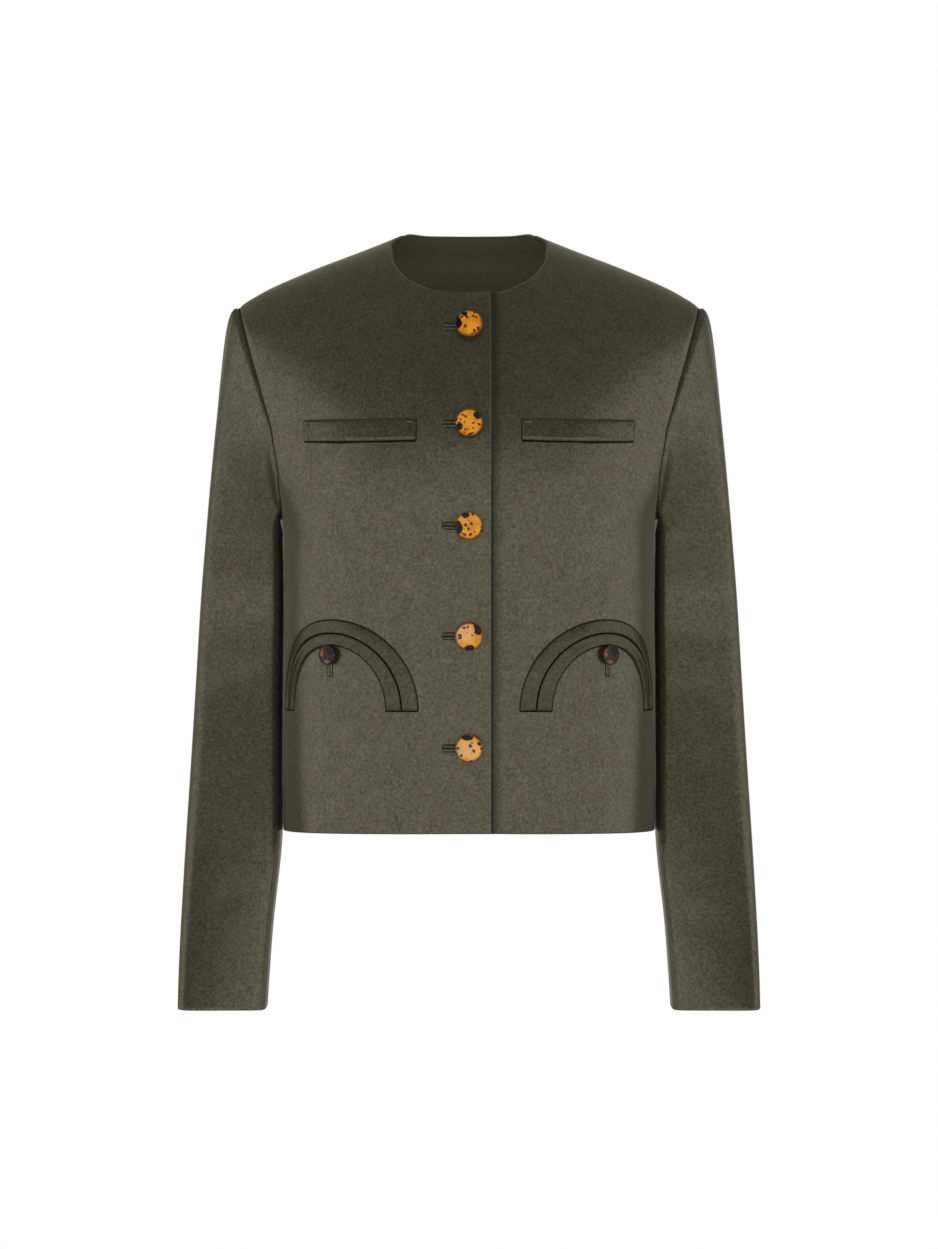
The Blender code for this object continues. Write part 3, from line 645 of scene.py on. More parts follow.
def spline(values, at, before=None, after=None):
    """Smooth curve through the rows of values; before and after steer the two ends."""
    rows = [] if before is None else [before]
    rows = np.array(rows + list(values) + ([] if after is None else [after]), float)
    shift = 0 if before is None else 1
    slopes = np.gradient(rows, axis=0)
    at = np.asarray(at, float) + shift
    low = np.clip(np.floor(at).astype(int), 0, len(rows) - 2)
    t = (at - low)[..., None]
    start = (1 + 2 * t) * (1 - t) ** 2 * rows[low] + t * (1 - t) ** 2 * slopes[low]
    return start + t * t * (3 - 2 * t) * rows[low + 1] + t * t * (t - 1) * slopes[low + 1]


def on_side(vectors, side):
    """Points or directions of the wearer's left half, carried to a side."""
    return vectors * np.array((side, 1.0, 1.0))


def unit(vectors):
    """Vectors made one long."""
    return vectors / np.linalg.norm(vectors, axis=-1, keepdims=True)


def lengths(points, axis=0):
    """Distance along rows or columns of points from their start."""
    steps = np.linalg.norm(np.diff(points, axis=axis), axis=-1)
    start = np.zeros_like(np.take(steps, [0], axis=axis))
    return np.concatenate([start, np.cumsum(steps, axis=axis)], axis=axis)


def circle(count, closed=False):
    """Points of a flat unit circle; where it is closed, the last is the first again."""
    turn = np.linspace(0.0, 2 * np.pi, count, endpoint=closed)
    return np.stack([np.cos(turn), np.sin(turn)], axis=1)


SLICE_ROWS = np.linspace(0, len(BODY) - 1, FINE_STEPS * (len(BODY) - 1) + 1)
SLICE_HEIGHTS = spline(BODY, SLICE_ROWS)[:, 0]


def slice_at(z):
    """Half width, the places of side, centre front and centre back, and fullness at a height."""
    row = spline(BODY, np.interp(z, SLICE_HEIGHTS, SLICE_ROWS))
    return np.moveaxis(row[..., 1:], -1, 0)


def quarter(turn, full):
    """Shares of the half width and of the depth, from the centre at 0 to the side at 1."""
    back = 1 - turn
    across = 3 * back * back * turn * full + 3 * back * turn * turn + turn ** 3
    deep = back ** 3 + 3 * back * back * turn + 3 * back * turn * turn * full
    return across, deep


def body_point(turn, z):
    """Outside of the cloth: turn is 0 at the centre front, 1 at the side and 2 at the centre back."""
    turn, z = np.broadcast_arrays(np.asarray(turn, float), np.asarray(z, float))
    half_width, side, front, back, full = slice_at(z)
    across, deep = quarter(1 - np.abs(1 - turn), full)
    y = side + np.where(turn < 1, front - side, back - side) * deep
    return np.stack([half_width * across, y, z], axis=-1)


def body_normal(turn, z):
    """Direction out of the garment."""
    across = body_point(turn + STEP, z) - body_point(turn - STEP, z)
    up = body_point(turn, z + STEP) - body_point(turn, z - STEP)
    return unit(np.cross(across, up))


def section_end(number, x, z):
    """Turn and height of a section's end at a distance from the centre line."""
    half_width, *_, full = slice_at(z)
    turn = float(np.interp(x / half_width, quarter(TURNS, full)[0], TURNS))
    return (turn if number <= SHOULDER else CENTRE_BACK - turn), z


INNER_ENDS = np.array([section_end(number, *row.inner) for number, row in enumerate(SECTIONS)])
OUTER_ENDS = np.array([section_end(number, *row.outer) for number, row in enumerate(SECTIONS)])


def edge_place(ends, first, last, before, after, v):
    """Turn and height along an edge whose middle stretch, from first to last, is a curve of its own."""
    curve = spline(ends[first:last + 1], np.clip(v, first, last) - first, before, after)
    front = spline(ends[:first + 1], np.minimum(v, first))
    back = spline(ends[last:], np.maximum(v, last) - last)
    return np.where((v < first)[..., None], front, np.where((v > last)[..., None], back, curve))


def inner_edge(v):
    """Turn and height along centre front, neck edge and centre back, with corners where they meet."""
    before = INNER_ENDS[FRONT_NECK + 1] * (-1, 1)
    after = INNER_ENDS[BACK_NECK - 1] * (-1, 1) + (2 * CENTRE_BACK, 0)
    return edge_place(INNER_ENDS, FRONT_NECK, BACK_NECK, before, after, v)


def outer_edge(v):
    """Turn and height along side seam and armhole; the armhole is one closed loop."""
    before = OUTER_ENDS[BACK_UNDERARM - 1]
    after = OUTER_ENDS[FRONT_UNDERARM + 1]
    return edge_place(OUTER_ENDS, FRONT_UNDERARM, BACK_UNDERARM, before, after, v)


def armhole(v):
    """Points along the armhole edge."""
    return body_point(*np.moveaxis(outer_edge(v), -1, 0))


def armhole_normal(v):
    """Directions out of the garment along the armhole edge."""
    return body_normal(*np.moveaxis(outer_edge(v), -1, 0))


def section_place(u, v):
    """Turn and height at a share u of the way across the sections, v along their table."""
    u, v = np.broadcast_arrays(np.asarray(u, float), np.asarray(v, float))
    place = inner_edge(v) * (1 - u[..., None]) + outer_edge(v) * u[..., None]
    return place[..., 0], place[..., 1]


def section_point(u, v):
    """Point of the body at a place of the sections."""
    return body_point(*section_place(u, v))


def section_frame(u, v):
    """Point, directions across and along the sections, and the normal out of the garment."""
    u, v = np.broadcast_arrays(np.asarray(u, float), np.asarray(v, float))
    low = np.clip(v - STEP, 0, BACK_HEM)
    high = np.clip(v + STEP, 0, BACK_HEM)
    across = unit(section_point(u + STEP, v) - section_point(u - STEP, v))
    along = unit(section_point(u, high) - section_point(u, low))
    return section_point(u, v), across, along, body_normal(*section_place(u, v))


def front_turn(girth, height):
    """Turn of points at these girths from the centre front and these heights."""
    line = body_point(TURNS, np.asarray(height, float)[:, None])
    girths = lengths(line, axis=1)
    return np.array([np.interp(far, row, TURNS) for far, row in zip(girth, girths)])


def even_rows(stops, spacing, place):
    """Rows through every stop, about the same distance apart along a line of places."""
    rows = []
    for low, high in zip(stops, stops[1:]):
        fine = np.linspace(low, high, FINE_STEPS)
        length = lengths(place(fine))
        count = int(np.ceil(length[-1] / spacing))
        rows.append(np.interp(np.linspace(0, length[-1], count + 1)[:-1], length, fine))
    return np.concatenate(rows + [[stops[-1]]])


def lap_depth(x):
    """How far the left front steps inward under the right one."""
    ramp = np.clip((LAP + LAP_FLAT + LAP_RAMP - x) / LAP_RAMP, 0, 1)
    return (CLOTH + LAP_GAP) * ramp * ramp * (3 - 2 * ramp)


def on_front(girth, height, out, side):
    """Points moved out from a front, and normals; a girth below 0 crosses the centre front."""
    girth, height, out = np.broadcast_arrays(*(np.asarray(a, float) for a in (girth, height, out)))
    shape = girth.shape
    turn = front_turn(np.abs(girth).ravel(), height.ravel())
    flip = np.where(girth.ravel() < 0, -1.0, 1.0)[:, None] * (1, 0, 0) + (0, 1, 1)
    point = body_point(turn, height.ravel()) * flip
    normal = body_normal(turn, height.ravel()) * flip
    out = out.ravel()
    if side > 0:
        out = out - lap_depth(point[:, 0])
    placed = on_side(point + normal * out[:, None], side)
    return placed.reshape(*shape, 3), on_side(normal, side).reshape(*shape, 3)


def lap_column(x, share):
    """Points and normals of the lap at a distance past the centre front, from hem to neck edge."""
    neck_rows = np.linspace(FRONT_NECK, FRONT_NECK + 1, FINE_STEPS)
    neck_line = section_point(np.zeros(FINE_STEPS), neck_rows)
    neck_row = np.interp(x, neck_line[:, 0], neck_rows)
    neck_turn, top = inner_edge(np.array(neck_row))
    hem = SECTIONS[0].inner[1]
    heights = hem + share * (top - hem)
    turns = front_turn(np.full(len(share), x), heights)
    turns[-1] = neck_turn
    return on_side(body_point(turns, heights), -1), on_side(body_normal(turns, heights), -1)


def numbered(points):
    """Indices of a net's points, laid out as the net is."""
    return np.arange(points.shape[0] * points.shape[1]).reshape(points.shape[:2])


def rounded_off(index):
    """A net of indices with its first column again at the end."""
    return np.concatenate([index, index[:, :1]], axis=1)


def grid_faces(index):
    """Four-sided faces between neighbouring points of a net of indices."""
    corners = [index[:-1, :-1], index[:-1, 1:], index[1:, 1:], index[1:, :-1]]
    return np.stack([corner.ravel() for corner in corners], axis=1)


# A piece of cloth: its points, normals, faces and flat places, which points lie on a seam, and the
# width and length of its cut.
Net = namedtuple("Net", "points normals faces flat seam size")


def panel_half(stops, waist, spacing):
    """Rows, points, directions along and normals of half a panel, about evenly spread."""
    rows = even_rows(stops, spacing, lambda v: section_point(np.full(v.shape, 0.5), v))
    columns = even_rows((0, 1), spacing, lambda u: section_point(u, np.full(u.shape, waist)))
    point, across, along, normal = section_frame(columns[None, :], rows[:, None])
    point[:, -1] -= across[:, -1] * SEAM_GAP / 2
    return rows, point, along, normal


def front_net(side):
    """A whole front with its lap."""
    stops = (0, FRONT_UNDERARM, FRONT_NECK, SHOULDER)
    rows, point, along, normal = panel_half(stops, FRONT_WAIST, PANEL_SPACING)
    point[-1] -= along[-1] * SEAM_GAP / 2
    girth = lengths(point, axis=1)
    index = numbered(point)
    seam = np.zeros(index.shape, bool)
    seam[:, -1] = True
    seam[-1] = True
    points = [point.reshape(-1, 3)]
    normals = [normal.reshape(-1, 3)]
    faces = [grid_faces(index)]
    flat = [np.stack([girth.ravel(), point[..., 2].ravel()], axis=1)]
    lap_rows = int(np.searchsorted(rows, FRONT_NECK)) + 1
    centre = point[:lap_rows, 0, 2]
    share = (centre - centre[0]) / (centre[-1] - centre[0])
    edge = index[:lap_rows, 0]
    total = index.size
    for x in np.linspace(0, LAP, int(np.ceil(LAP / PANEL_SPACING)) + 1)[1:]:
        column, column_normal = lap_column(x, share)
        new_edge = np.arange(lap_rows) + total
        total += lap_rows
        faces.append(grid_faces(np.stack([new_edge, edge], axis=1)))
        points.append(column)
        normals.append(column_normal)
        flat.append(np.stack([np.full(lap_rows, -x), column[:, 2]], axis=1))
        edge = new_edge
    points = np.concatenate(points)
    normals = np.concatenate(normals)
    if side > 0:
        points = points - normals * lap_depth(points[:, 0])[:, None]
    return Net(
        points=on_side(points, side),
        normals=on_side(normals, side),
        faces=np.concatenate(faces),
        flat=np.concatenate(flat),
        seam=np.concatenate([seam.ravel(), np.zeros(total - index.size, bool)]),
        size=(girth.max() + LAP, lengths(point, axis=0).max()),
    )


def back_net():
    """The whole back; the halves join below the neck edge."""
    stops = (SHOULDER, BACK_NECK, BACK_UNDERARM, BACK_HEM)
    rows, point, along, normal = panel_half(stops, BACK_WAIST, BACK_SPACING)
    point[0] += along[0] * SEAM_GAP / 2
    girth = lengths(point, axis=1)
    index = numbered(point)
    seam = np.zeros(index.shape, bool)
    seam[:, -1] = True
    seam[0] = True
    other = index + index.size
    joined = rows >= BACK_NECK
    other[joined, 0] = index[joined, 0]
    faces = np.concatenate([grid_faces(index), grid_faces(other[:, ::-1])])
    used, place = np.unique(faces, return_inverse=True)
    points, normals = (
        np.concatenate([half, on_side(half, -1)])[used]
        for half in (point.reshape(-1, 3), normal.reshape(-1, 3))
    )
    aside = np.concatenate([girth.ravel(), -girth.ravel()])
    height = np.tile(point[..., 2].ravel(), 2)
    return Net(
        points=points,
        normals=normals,
        faces=place.reshape(faces.shape),
        flat=np.stack([aside, height], axis=1)[used],
        seam=np.tile(seam.ravel(), 2)[used],
        size=(2 * girth.max(), lengths(point, axis=0).max()),
    )


def sleeve_ring(row, angle):
    """Point of the sleeve tube: angle 0 is the outer side, a quarter turn the front."""
    z, x, y, half_width, half_depth, slant, tuck, turn = spline(SLEEVE, row).T
    quarters = np.abs(angle) / (np.pi / 2)
    full = np.where(angle < 0, SLEEVE_BACK_FULL, SLEEVE_FULL)
    rise, fall = quarter(np.where(quarters < 1, quarters, 2 - quarters), full)
    across = np.where(quarters < 1, fall, -fall)
    deep = np.sign(angle) * rise
    power = np.where(across > 0, SLEEVE_OUTER_SQUARENESS, SLEEVE_INNER_SQUARENESS)
    corner = (np.abs(across) ** power + np.abs(deep) ** power) ** (-1 / power)
    corner = np.where(angle < 0, 1.0, corner)
    across = across * corner
    deep = deep * corner
    height = z + slant * half_width * across
    behind = np.maximum(-deep, 0) ** 2 * (1 - across) / 2
    aside = x + half_width * across - tuck * behind
    return np.stack([aside, y - half_depth * deep - turn * across, height], axis=-1)


def sleeve_lines():
    """Lines down a sleeve: row on the armhole, way from shoulder to underarm, angle on the tube."""
    front = even_rows((FRONT_UNDERARM, SHOULDER), SLEEVE_SPACING, armhole)
    back = even_rows((SHOULDER, BACK_UNDERARM), SLEEVE_SPACING, armhole)[1:-1]
    rows = np.concatenate([front, back])
    loop = armhole(rows)
    length = lengths(np.concatenate([loop, loop[:1]]))
    top = len(front) - 1
    way_front = 1 - length[:top + 1] / length[top]
    way_back = (length[top + 1:-1] - length[top]) / (length[-1] - length[top])
    angle = np.pi * np.concatenate([way_front, -way_back])
    return rows, np.concatenate([way_front, way_back]), angle


def sleeve_head(rows, way, angle):
    """Points of the head from the armhole to the first ring, and the directions it starts in."""
    loop = armhole(rows)
    cap = spline([row[1:] for row in SLEEVE_CAP], way * (len(SLEEVE_CAP) - 1))
    roll, spread, hang = (cap[:, i:i + 1] for i in range(3))
    radial = unit((loop - loop.mean(axis=0)) * (0, 1, 1))
    slope = section_frame(np.ones(len(rows)), rows)[1]
    follow = np.interp(way, HEAD_WAYS, HEAD_FOLLOWS)[:, None]
    outward = unit(unit(np.array(CAP_OUTWARD) + radial * spread) * (1 - follow) + slope * follow)
    start = loop + outward * SEAM_GAP
    ring = sleeve_ring(np.zeros(len(angle)), angle)
    rise = unit(ring - sleeve_ring(np.full(len(angle), RISE_STEP), angle))
    drop = (start - ring)[:, 2:] * hang
    t = np.linspace(0, 1, CAP_ROWS, endpoint=False)[:, None, None]
    head = (
        (1 - t) ** 3 * start
        + 3 * t * (1 - t) ** 2 * (start + outward * roll)
        + 3 * t * t * (1 - t) * (ring + rise * drop)
        + t ** 3 * ring
    )
    return head, outward


def sleeve_net(side):
    """A set-in sleeve, rows from the armhole to the cuff."""
    rows, way, angle = sleeve_lines()
    head, outward = sleeve_head(rows, way, angle)
    stops = (0, len(SLEEVE) - 1)
    fine = even_rows(stops, SLEEVE_SPACING, lambda row: sleeve_ring(row, np.zeros_like(row)))
    tube = np.stack([sleeve_ring(np.full(len(angle), row), angle) for row in fine])
    points = np.concatenate([head, tube])
    along = np.gradient(points, axis=0)
    along[0] = outward
    around = np.roll(points, -1, axis=1) - np.roll(points, 1, axis=1)
    normals = unit(np.cross(along, around))
    normals[0] = armhole_normal(rows)
    away = lengths(points, axis=0)
    full = HEAD_FULLNESS * (1 - np.exp(-away / HEAD_RISE)) * np.exp(-away / HEAD_FADE) * (1 - way ** 2)
    points = points + normals * full[..., None]
    girth = lengths(np.concatenate([points, points[:, :1]], axis=1), axis=1)[:, :-1]
    length = lengths(points, axis=0)
    seam = np.zeros(points.shape[:2], bool)
    seam[0] = True
    return Net(
        points=on_side(points.reshape(-1, 3), side),
        normals=on_side(normals.reshape(-1, 3), side),
        faces=grid_faces(rounded_off(numbered(points))),
        flat=np.stack([girth.ravel(), length.ravel()], axis=1),
        seam=seam.ravel(),
        size=(girth.max(), length.max()),
    )


def face_directions(points, faces):
    """Normals of four-sided faces, each twice as long as its face is large."""
    corner = points[faces]
    return np.cross(corner[:, 2] - corner[:, 0], corner[:, 3] - corner[:, 1])


def net_area(points, faces):
    """Area of four-sided faces."""
    return np.linalg.norm(face_directions(points, faces), axis=1).sum() / 2


def facing_out(net):
    """The net's faces, turned to agree with its normals."""
    if (face_directions(net.points, net.faces) * net.normals[net.faces[:, 0]]).sum() < 0:
        return net.faces[:, ::-1]
    return net.faces


def free_edges(faces, count):
    """Directed edges that only one face uses."""
    edges = np.concatenate([np.stack([faces[:, i], faces[:, (i + 1) % 4]], axis=1) for i in range(4)])
    key = edges[:, 0] * count + edges[:, 1]
    back = edges[:, 1] * count + edges[:, 0]
    return edges[~np.isin(key, back)]


def edge_directions(net, edges):
    """Points on free edges, and for each the direction off the cloth."""
    step = unit(net.points[edges[:, 1]] - net.points[edges[:, 0]])
    off = np.cross(step, net.normals[edges[:, 0]])
    total = np.zeros_like(net.points)
    for end in (0, 1):
        np.add.at(total, edges[:, end], off)
    border = np.unique(edges)
    return border, unit(total[border])


def dipped(net):
    """The net with its cloth drawn in a little beside every seam."""
    tree = KDTree(int(net.seam.sum()))
    for number, point in enumerate(net.points[net.seam]):
        tree.insert(point, number)
    tree.balance()
    away = np.array([tree.find(point)[2] for point in net.points])
    dip = SEAM_DIP * np.exp(-(away / SEAM_SPREAD) ** 2)
    return net._replace(points=net.points - net.normals * dip[:, None])


def creased(net, folds):
    """The net with its main creases pressed in as soft troughs along bent lines."""
    points = net.points.copy()
    t = np.linspace(0, 1, FOLD_STEPS)[:, None]
    for fold in folds:
        start, bend, end = (np.array(place) for place in (fold.start, fold.bend, fold.end))
        line = (1 - t) ** 2 * start + 2 * t * (1 - t) * bend + t * t * end
        away = np.linalg.norm(net.points[:, None, [0, 2]] - line, axis=-1)
        fade = np.sin(np.pi * t[away.argmin(axis=1), 0])
        facing = np.clip(fold.face * net.normals[:, 1], 0, 1)
        dent = fold.depth * fade * facing * np.exp(-(away.min(axis=1) / fold.width) ** 2)
        points -= net.normals * dent[:, None]
    return net._replace(points=points)


def add_mesh(name, points, faces, material, flat):
    """A smooth mesh in metres that rides with the jacket."""
    mesh = bpy.data.meshes.new(name)
    mesh.from_pydata((np.asarray(points) * MM).tolist(), [], [list(face) for face in faces])
    mesh.polygons.foreach_set("use_smooth", np.ones(len(mesh.polygons), bool))
    corner = np.zeros(len(mesh.loops), np.int32)
    mesh.loops.foreach_get("vertex_index", corner)
    layer = mesh.uv_layers.new(name="cut")
    layer.uv.foreach_set("vector", (np.asarray(flat) * MM)[corner].astype(np.float32).ravel())
    mesh.materials.append(material)
    piece = bpy.data.objects.new(name, mesh)
    bpy.context.scene.collection.objects.link(piece)
    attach(piece, "root")
    return piece


def declare_cloth(node, size, area):
    """Hides the solid that a cloth piece stands for; the size and area of its cut are worked out,
    unused.
    """
    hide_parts(node)
    width, length = (measure * MM for measure in size)
    area = min(area * MM * MM, width * length)


def add_shell(name, net, material):
    """Cloth of one thickness: free edges are rolled round, seam edges turn in."""
    faces = facing_out(net)
    count = len(net.points)
    edges = free_edges(faces, count)
    border, off = edge_directions(net, edges)
    seam = net.seam[border][:, None]
    normals = net.normals[border]
    radius = np.where(seam, SEAM_RADIUS, CLOTH / 2)
    outer = net.points.copy()
    outer[border] -= off * radius
    inner = outer - net.normals * CLOTH
    inner[border] += off * np.where(seam, radius, 0)
    levels = [border]
    points = [outer, inner]
    flats = [net.flat, net.flat]
    total = 2 * count
    for step in range(1, RIM_STEPS):
        turn = np.where(seam, np.pi / 2 * step / (RIM_STEPS - 1), np.pi * step / RIM_STEPS)
        points.append(outer[border] + radius * (np.sin(turn) * off - (1 - np.cos(turn)) * normals))
        flats.append(net.flat[border])
        levels.append(total + np.arange(len(border)))
        total += len(border)
    levels.append(border + count)
    place = np.zeros(count, int)
    place[border] = np.arange(len(border))
    a, b = place[edges].T
    rim = [
        np.stack([near[b], near[a], far[a], far[b]], axis=1)
        for near, far in zip(levels, levels[1:])
    ]
    solid = np.concatenate([faces, faces[:, ::-1] + count, *rim])
    flat = np.concatenate(flats)
    piece = add_mesh(name, np.concatenate(points), solid.tolist(), material, flat)
    piece.data.materials.append(satin_reverse)
    inside = np.zeros(len(solid), np.int32)
    inside[len(faces):2 * len(faces)] = 1
    piece.data.polygons.foreach_set("material_index", inside)
    return piece


def add_panel(node, net, material):
    """A panel of the jacket with dips along its seams and its creases, in place of its solid."""
    piece = add_shell(f"{node}_satin", creased(dipped(net), FOLDS[node]), material)
    declare_cloth(node, net.size, net_area(net.points, net.faces))


def add_laid(name, girths, heights, tops, side, material):
    """A closed piece lying on a front: nets of girth, height and top above the panel."""
    girths, heights, tops = np.broadcast_arrays(girths, heights, tops)
    top = on_front(girths, heights, tops, side)[0].reshape(-1, 3)
    bottom = on_front(girths, heights, LAID_BASE, side)[0].reshape(-1, 3)
    count = len(top)
    faces = grid_faces(np.arange(count).reshape(girths.shape))
    edges = free_edges(faces, count)
    walls = np.stack([edges[:, 1], edges[:, 0], edges[:, 0] + count, edges[:, 1] + count], axis=1)
    solid = np.concatenate([faces, faces[:, ::-1] + count, walls])
    points = np.concatenate([top, bottom])
    if (face_directions(points, solid[:1])[0] * (top[0] - bottom[0])).sum() < 0:
        solid = solid[:, ::-1]
    flat = np.stack([girths.ravel(), heights.ravel()], axis=1)
    piece = add_mesh(name, points, solid.tolist(), material, np.concatenate([flat, flat]))
    return piece, net_area(top, faces)


def add_line(name, path, width, top, side, material):
    """A thin rounded line along a path of girths and heights on a front: thread, or painted shade."""
    step = unit(np.gradient(path, axis=0))
    off = np.stack([-step[:, 1], step[:, 0]], axis=1)
    across, tops = np.array(LINE).T
    spread = (across - 0.5) * np.broadcast_to(width, len(path))[:, None]
    girths = path[:, :1] + off[:, :1] * spread
    heights = path[:, 1:] + off[:, 1:] * spread
    add_laid(name, girths, heights, 2 * LAID_BASE + top * tops, side, material)


def add_armhole_shade(hand, side):
    """A strip of painted shade down in the seam round an armhole."""
    rows = even_rows((FRONT_UNDERARM, SHOULDER, BACK_UNDERARM), PANEL_SPACING, armhole)[:-1]
    loop = armhole(rows)
    normal = armhole_normal(rows)
    off = unit(np.cross(np.roll(loop, -1, axis=0) - np.roll(loop, 1, axis=0), normal))
    across, tops = (column[:, None, None] for column in np.array(LINE).T)
    depth = ARMHOLE_LINE_DEPTH + ARMHOLE_LINE * (1 - tops)
    points = loop + off * (across - 0.5) * ARMHOLE_LINE - normal * depth
    index = rounded_off(numbered(points))
    faces = grid_faces(np.concatenate([index, index[:1]]))[:, ::side].tolist()
    points = on_side(points.reshape(-1, 3), side)
    flat = np.zeros((len(points), 2))
    add_mesh(f"armhole_shade_{hand}", points, faces, thread_and_seam_shade, flat)


def tapered(length, count):
    """Places along a laid piece, two close to each end, and how its height thins there."""
    inside = np.linspace(END_INSET, length - END_INSET, count)
    places = np.concatenate([[0, END_INSET / 2], inside, [length - END_INSET / 2, length]])
    height = np.concatenate([END_TAPER, np.ones(count), END_TAPER[::-1]])
    return places[:, None], height[:, None]


def add_lips(name, start, step, length, width, side):
    """The two lips of a bound buttonhole, from a girth and height along a direction."""
    along, height = tapered(length, LIP_STEPS)
    across, tops = np.array(LIPS).T
    girths = start[0] + step[0] * along - step[1] * across * width
    heights = start[1] + step[1] * along + step[0] * across * width
    return add_laid(name, girths, heights, tops * height, side, shaded_welt_satin)


def add_buttonhole(node, start, step, length, width, hand):
    """A bound buttonhole with painted shadow in its slit and round its lips."""
    side = SIDES[hand]
    name = f"{node}_lips"
    piece, area = add_lips(name, start, step, length, width, side)
    slit = np.array(start) + np.linspace(0.0, length, LIP_STEPS)[:, None] * np.array(step)
    add_line(f"{name}_slit", slit, *SLIT_LINE, side, mouth_shadow)
    square = circle(ROUND_STEPS, closed=True)
    square = np.sign(square) * np.abs(square) ** CORNER_POWER
    around = (square[:, :1] + 1) * length / 2 * np.array(step)
    around = around + square[:, 1:] * width / 2 * np.array([-step[1], step[0]])
    add_line(f"{name}_seam", around + np.array(start), *BUTTONHOLE_LINE, side, mouth_shadow)
    declare_cloth(node, (length, 2 * width), area)


def facing_circle(normal):
    """A button's unit circle across a normal, starting level and turning upward."""
    up = unit(np.array([0.0, 0.0, 1.0]) - normal * normal[2])
    level, rise = np.hsplit(circle(BUTTON_SIDES), 2)
    return level * np.cross(up, normal) + rise * up


def add_button(node, girth, height, diameter, side, material):
    """A domed shank button: the foot lies on the cloth and the head hangs nearer upright."""
    seat, normal = on_front(girth, height, BUTTON_SEAT, side)
    hang = unit(normal * (1.0, 1.0, BUTTON_HANG))
    stand = diameter / 2 * (1 - BUTTON_HANG) * abs(normal[2])
    scale = diameter / BUTTON_DIAMETER
    face = circle(BUTTON_SIDES)
    foot = BUTTON_OUTLINE[1][0]
    rings = [seat + facing_circle(normal) * foot * diameter / 2]
    places = [face * foot]
    for share, lift in BUTTON_OUTLINE[2:-1]:
        rings.append(seat + hang * (lift * scale + stand) + facing_circle(hang) * share * diameter / 2)
        places.append(face * share)
    crown = seat + hang * (BUTTON_OUTLINE[-1][1] * scale + stand)
    points = np.concatenate([*rings, seat[None], crown[None]])
    index = rounded_off(numbered(np.array(rings)))
    faces = grid_faces(index)[:, ::-1].tolist()
    last = len(points)
    for i in range(BUTTON_SIDES):
        faces.append((int(index[0, i]), int(index[0, i + 1]), last - 2))
        faces.append((int(index[-1, i + 1]), int(index[-1, i]), last - 1))
    flat = np.concatenate([*places, np.zeros((2, 2))]) / MM
    piece = add_mesh(f"{node}_shell", points, faces, material, flat)
    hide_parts(node)


def add_fastening(number, height, clouds):
    """A front button and the bound buttonhole under it."""
    start = (-BUTTONHOLE_PAST_SHANK, height)
    node = f"buttonhole_{number}"
    add_buttonhole(node, start, (1.0, 0.0), BUTTONHOLE_LENGTH, BUTTONHOLE_HEIGHT, "right")
    node = f"button_{number}"
    finish = tortoiseshell_finish(node, clouds, AMBER, CREAM, FLECK, BUTTON_SHIFT * number)
    add_button(node, 0.0, height, BUTTON_DIAMETER, SIDES["right"], finish)


def pocket_line(line, turn):
    """Girths and heights along one of the curved lines of a pocket."""
    half, rise = line
    return POCKET_AXIS - half * np.cos(turn), POCKET_BASE + rise * np.sin(turn)


def add_band(name, far, near, profile, side):
    """A curved pocket band between two of the pocket's lines."""
    along, height = tapered(np.pi * near[1], ARCH_STEPS)
    across, tops = np.array(profile).T
    half, rise = (
        outer - BAND_GAP + across * (inner - outer + 2 * BAND_GAP)
        for outer, inner in zip(far, near)
    )
    girths, heights = pocket_line((half, rise), along / near[1])
    return add_laid(name, girths, heights, tops * height, side, shaded_band_satin)


def add_pocket(hand, side):
    """Half-moon pocket: two bands, painted shade at their mouth, ends and edges, buttonhole and button.
    """
    for level, far, near, profile in (
        ("upper", POCKET_OUTER, POCKET_OPENING, UPPER_BAND),
        ("lower", POCKET_OPENING, POCKET_INNER, LOWER_BAND),
    ):
        piece, area = add_band(f"pocket_{level}_band_{hand}", far, near, profile, side)
        size = (far[0] - near[0], np.pi / 4 * (far[0] + far[1] + near[0] + near[1]))
        declare_cloth(f"pocket_{level}_welt_{hand}", size, area)
    turn = np.linspace(0.0, np.pi, ARCH_STEPS)
    for name, line, shade_strip, material in (
        ("seam", POCKET_OUTER, POCKET_SEAM_LINE, thread_and_seam_shade),
        ("mouth", POCKET_OPENING, POCKET_MOUTH_LINE, mouth_shadow),
        ("hem", POCKET_INNER, POCKET_HEM_LINE, thread_and_seam_shade),
    ):
        path = np.stack(pocket_line(line, turn), axis=1)
        add_line(f"pocket_{name}_{hand}", path, *shade_strip, side, material)
    half = np.linspace(POCKET_INNER[0], POCKET_OUTER[0], END_STEPS)
    base = np.full(END_STEPS, POCKET_BASE - POCKET_END_DROP)
    for end, way in (("near", -1), ("far", 1)):
        path = np.stack([POCKET_AXIS + way * half, base], axis=1)
        add_line(f"pocket_{end}_end_{hand}", path, *POCKET_END_LINE, side, mouth_shadow)
    node = f"pocket_buttonhole_{hand}"
    top = (POCKET_BUTTON_GIRTH, POCKET_BUTTON_HEIGHT + POCKET_BUTTONHOLE_RISE)
    add_buttonhole(node, top, (0.0, -1.0), POCKET_BUTTONHOLE_LENGTH, POCKET_BUTTONHOLE_WIDTH, hand)
    node = f"pocket_button_{hand}"
    finish = tortoiseshell_finish(
        node, POCKET_BUTTON_CLOUDS, DARK_AMBER, DEEP_AMBER, BROWN, POCKET_BUTTON_SHIFT * side,
    )
    add_button(
        node, POCKET_BUTTON_GIRTH, POCKET_BUTTON_HEIGHT, POCKET_BUTTON_DIAMETER,
        side, finish,
    )


def welt_bottom(along):
    """Height of the free edge of a breast welt."""
    return CHEST_WELT_BOTTOM - CHEST_WELT_SAG * np.sin(np.pi * along / CHEST_WELT_LENGTH)


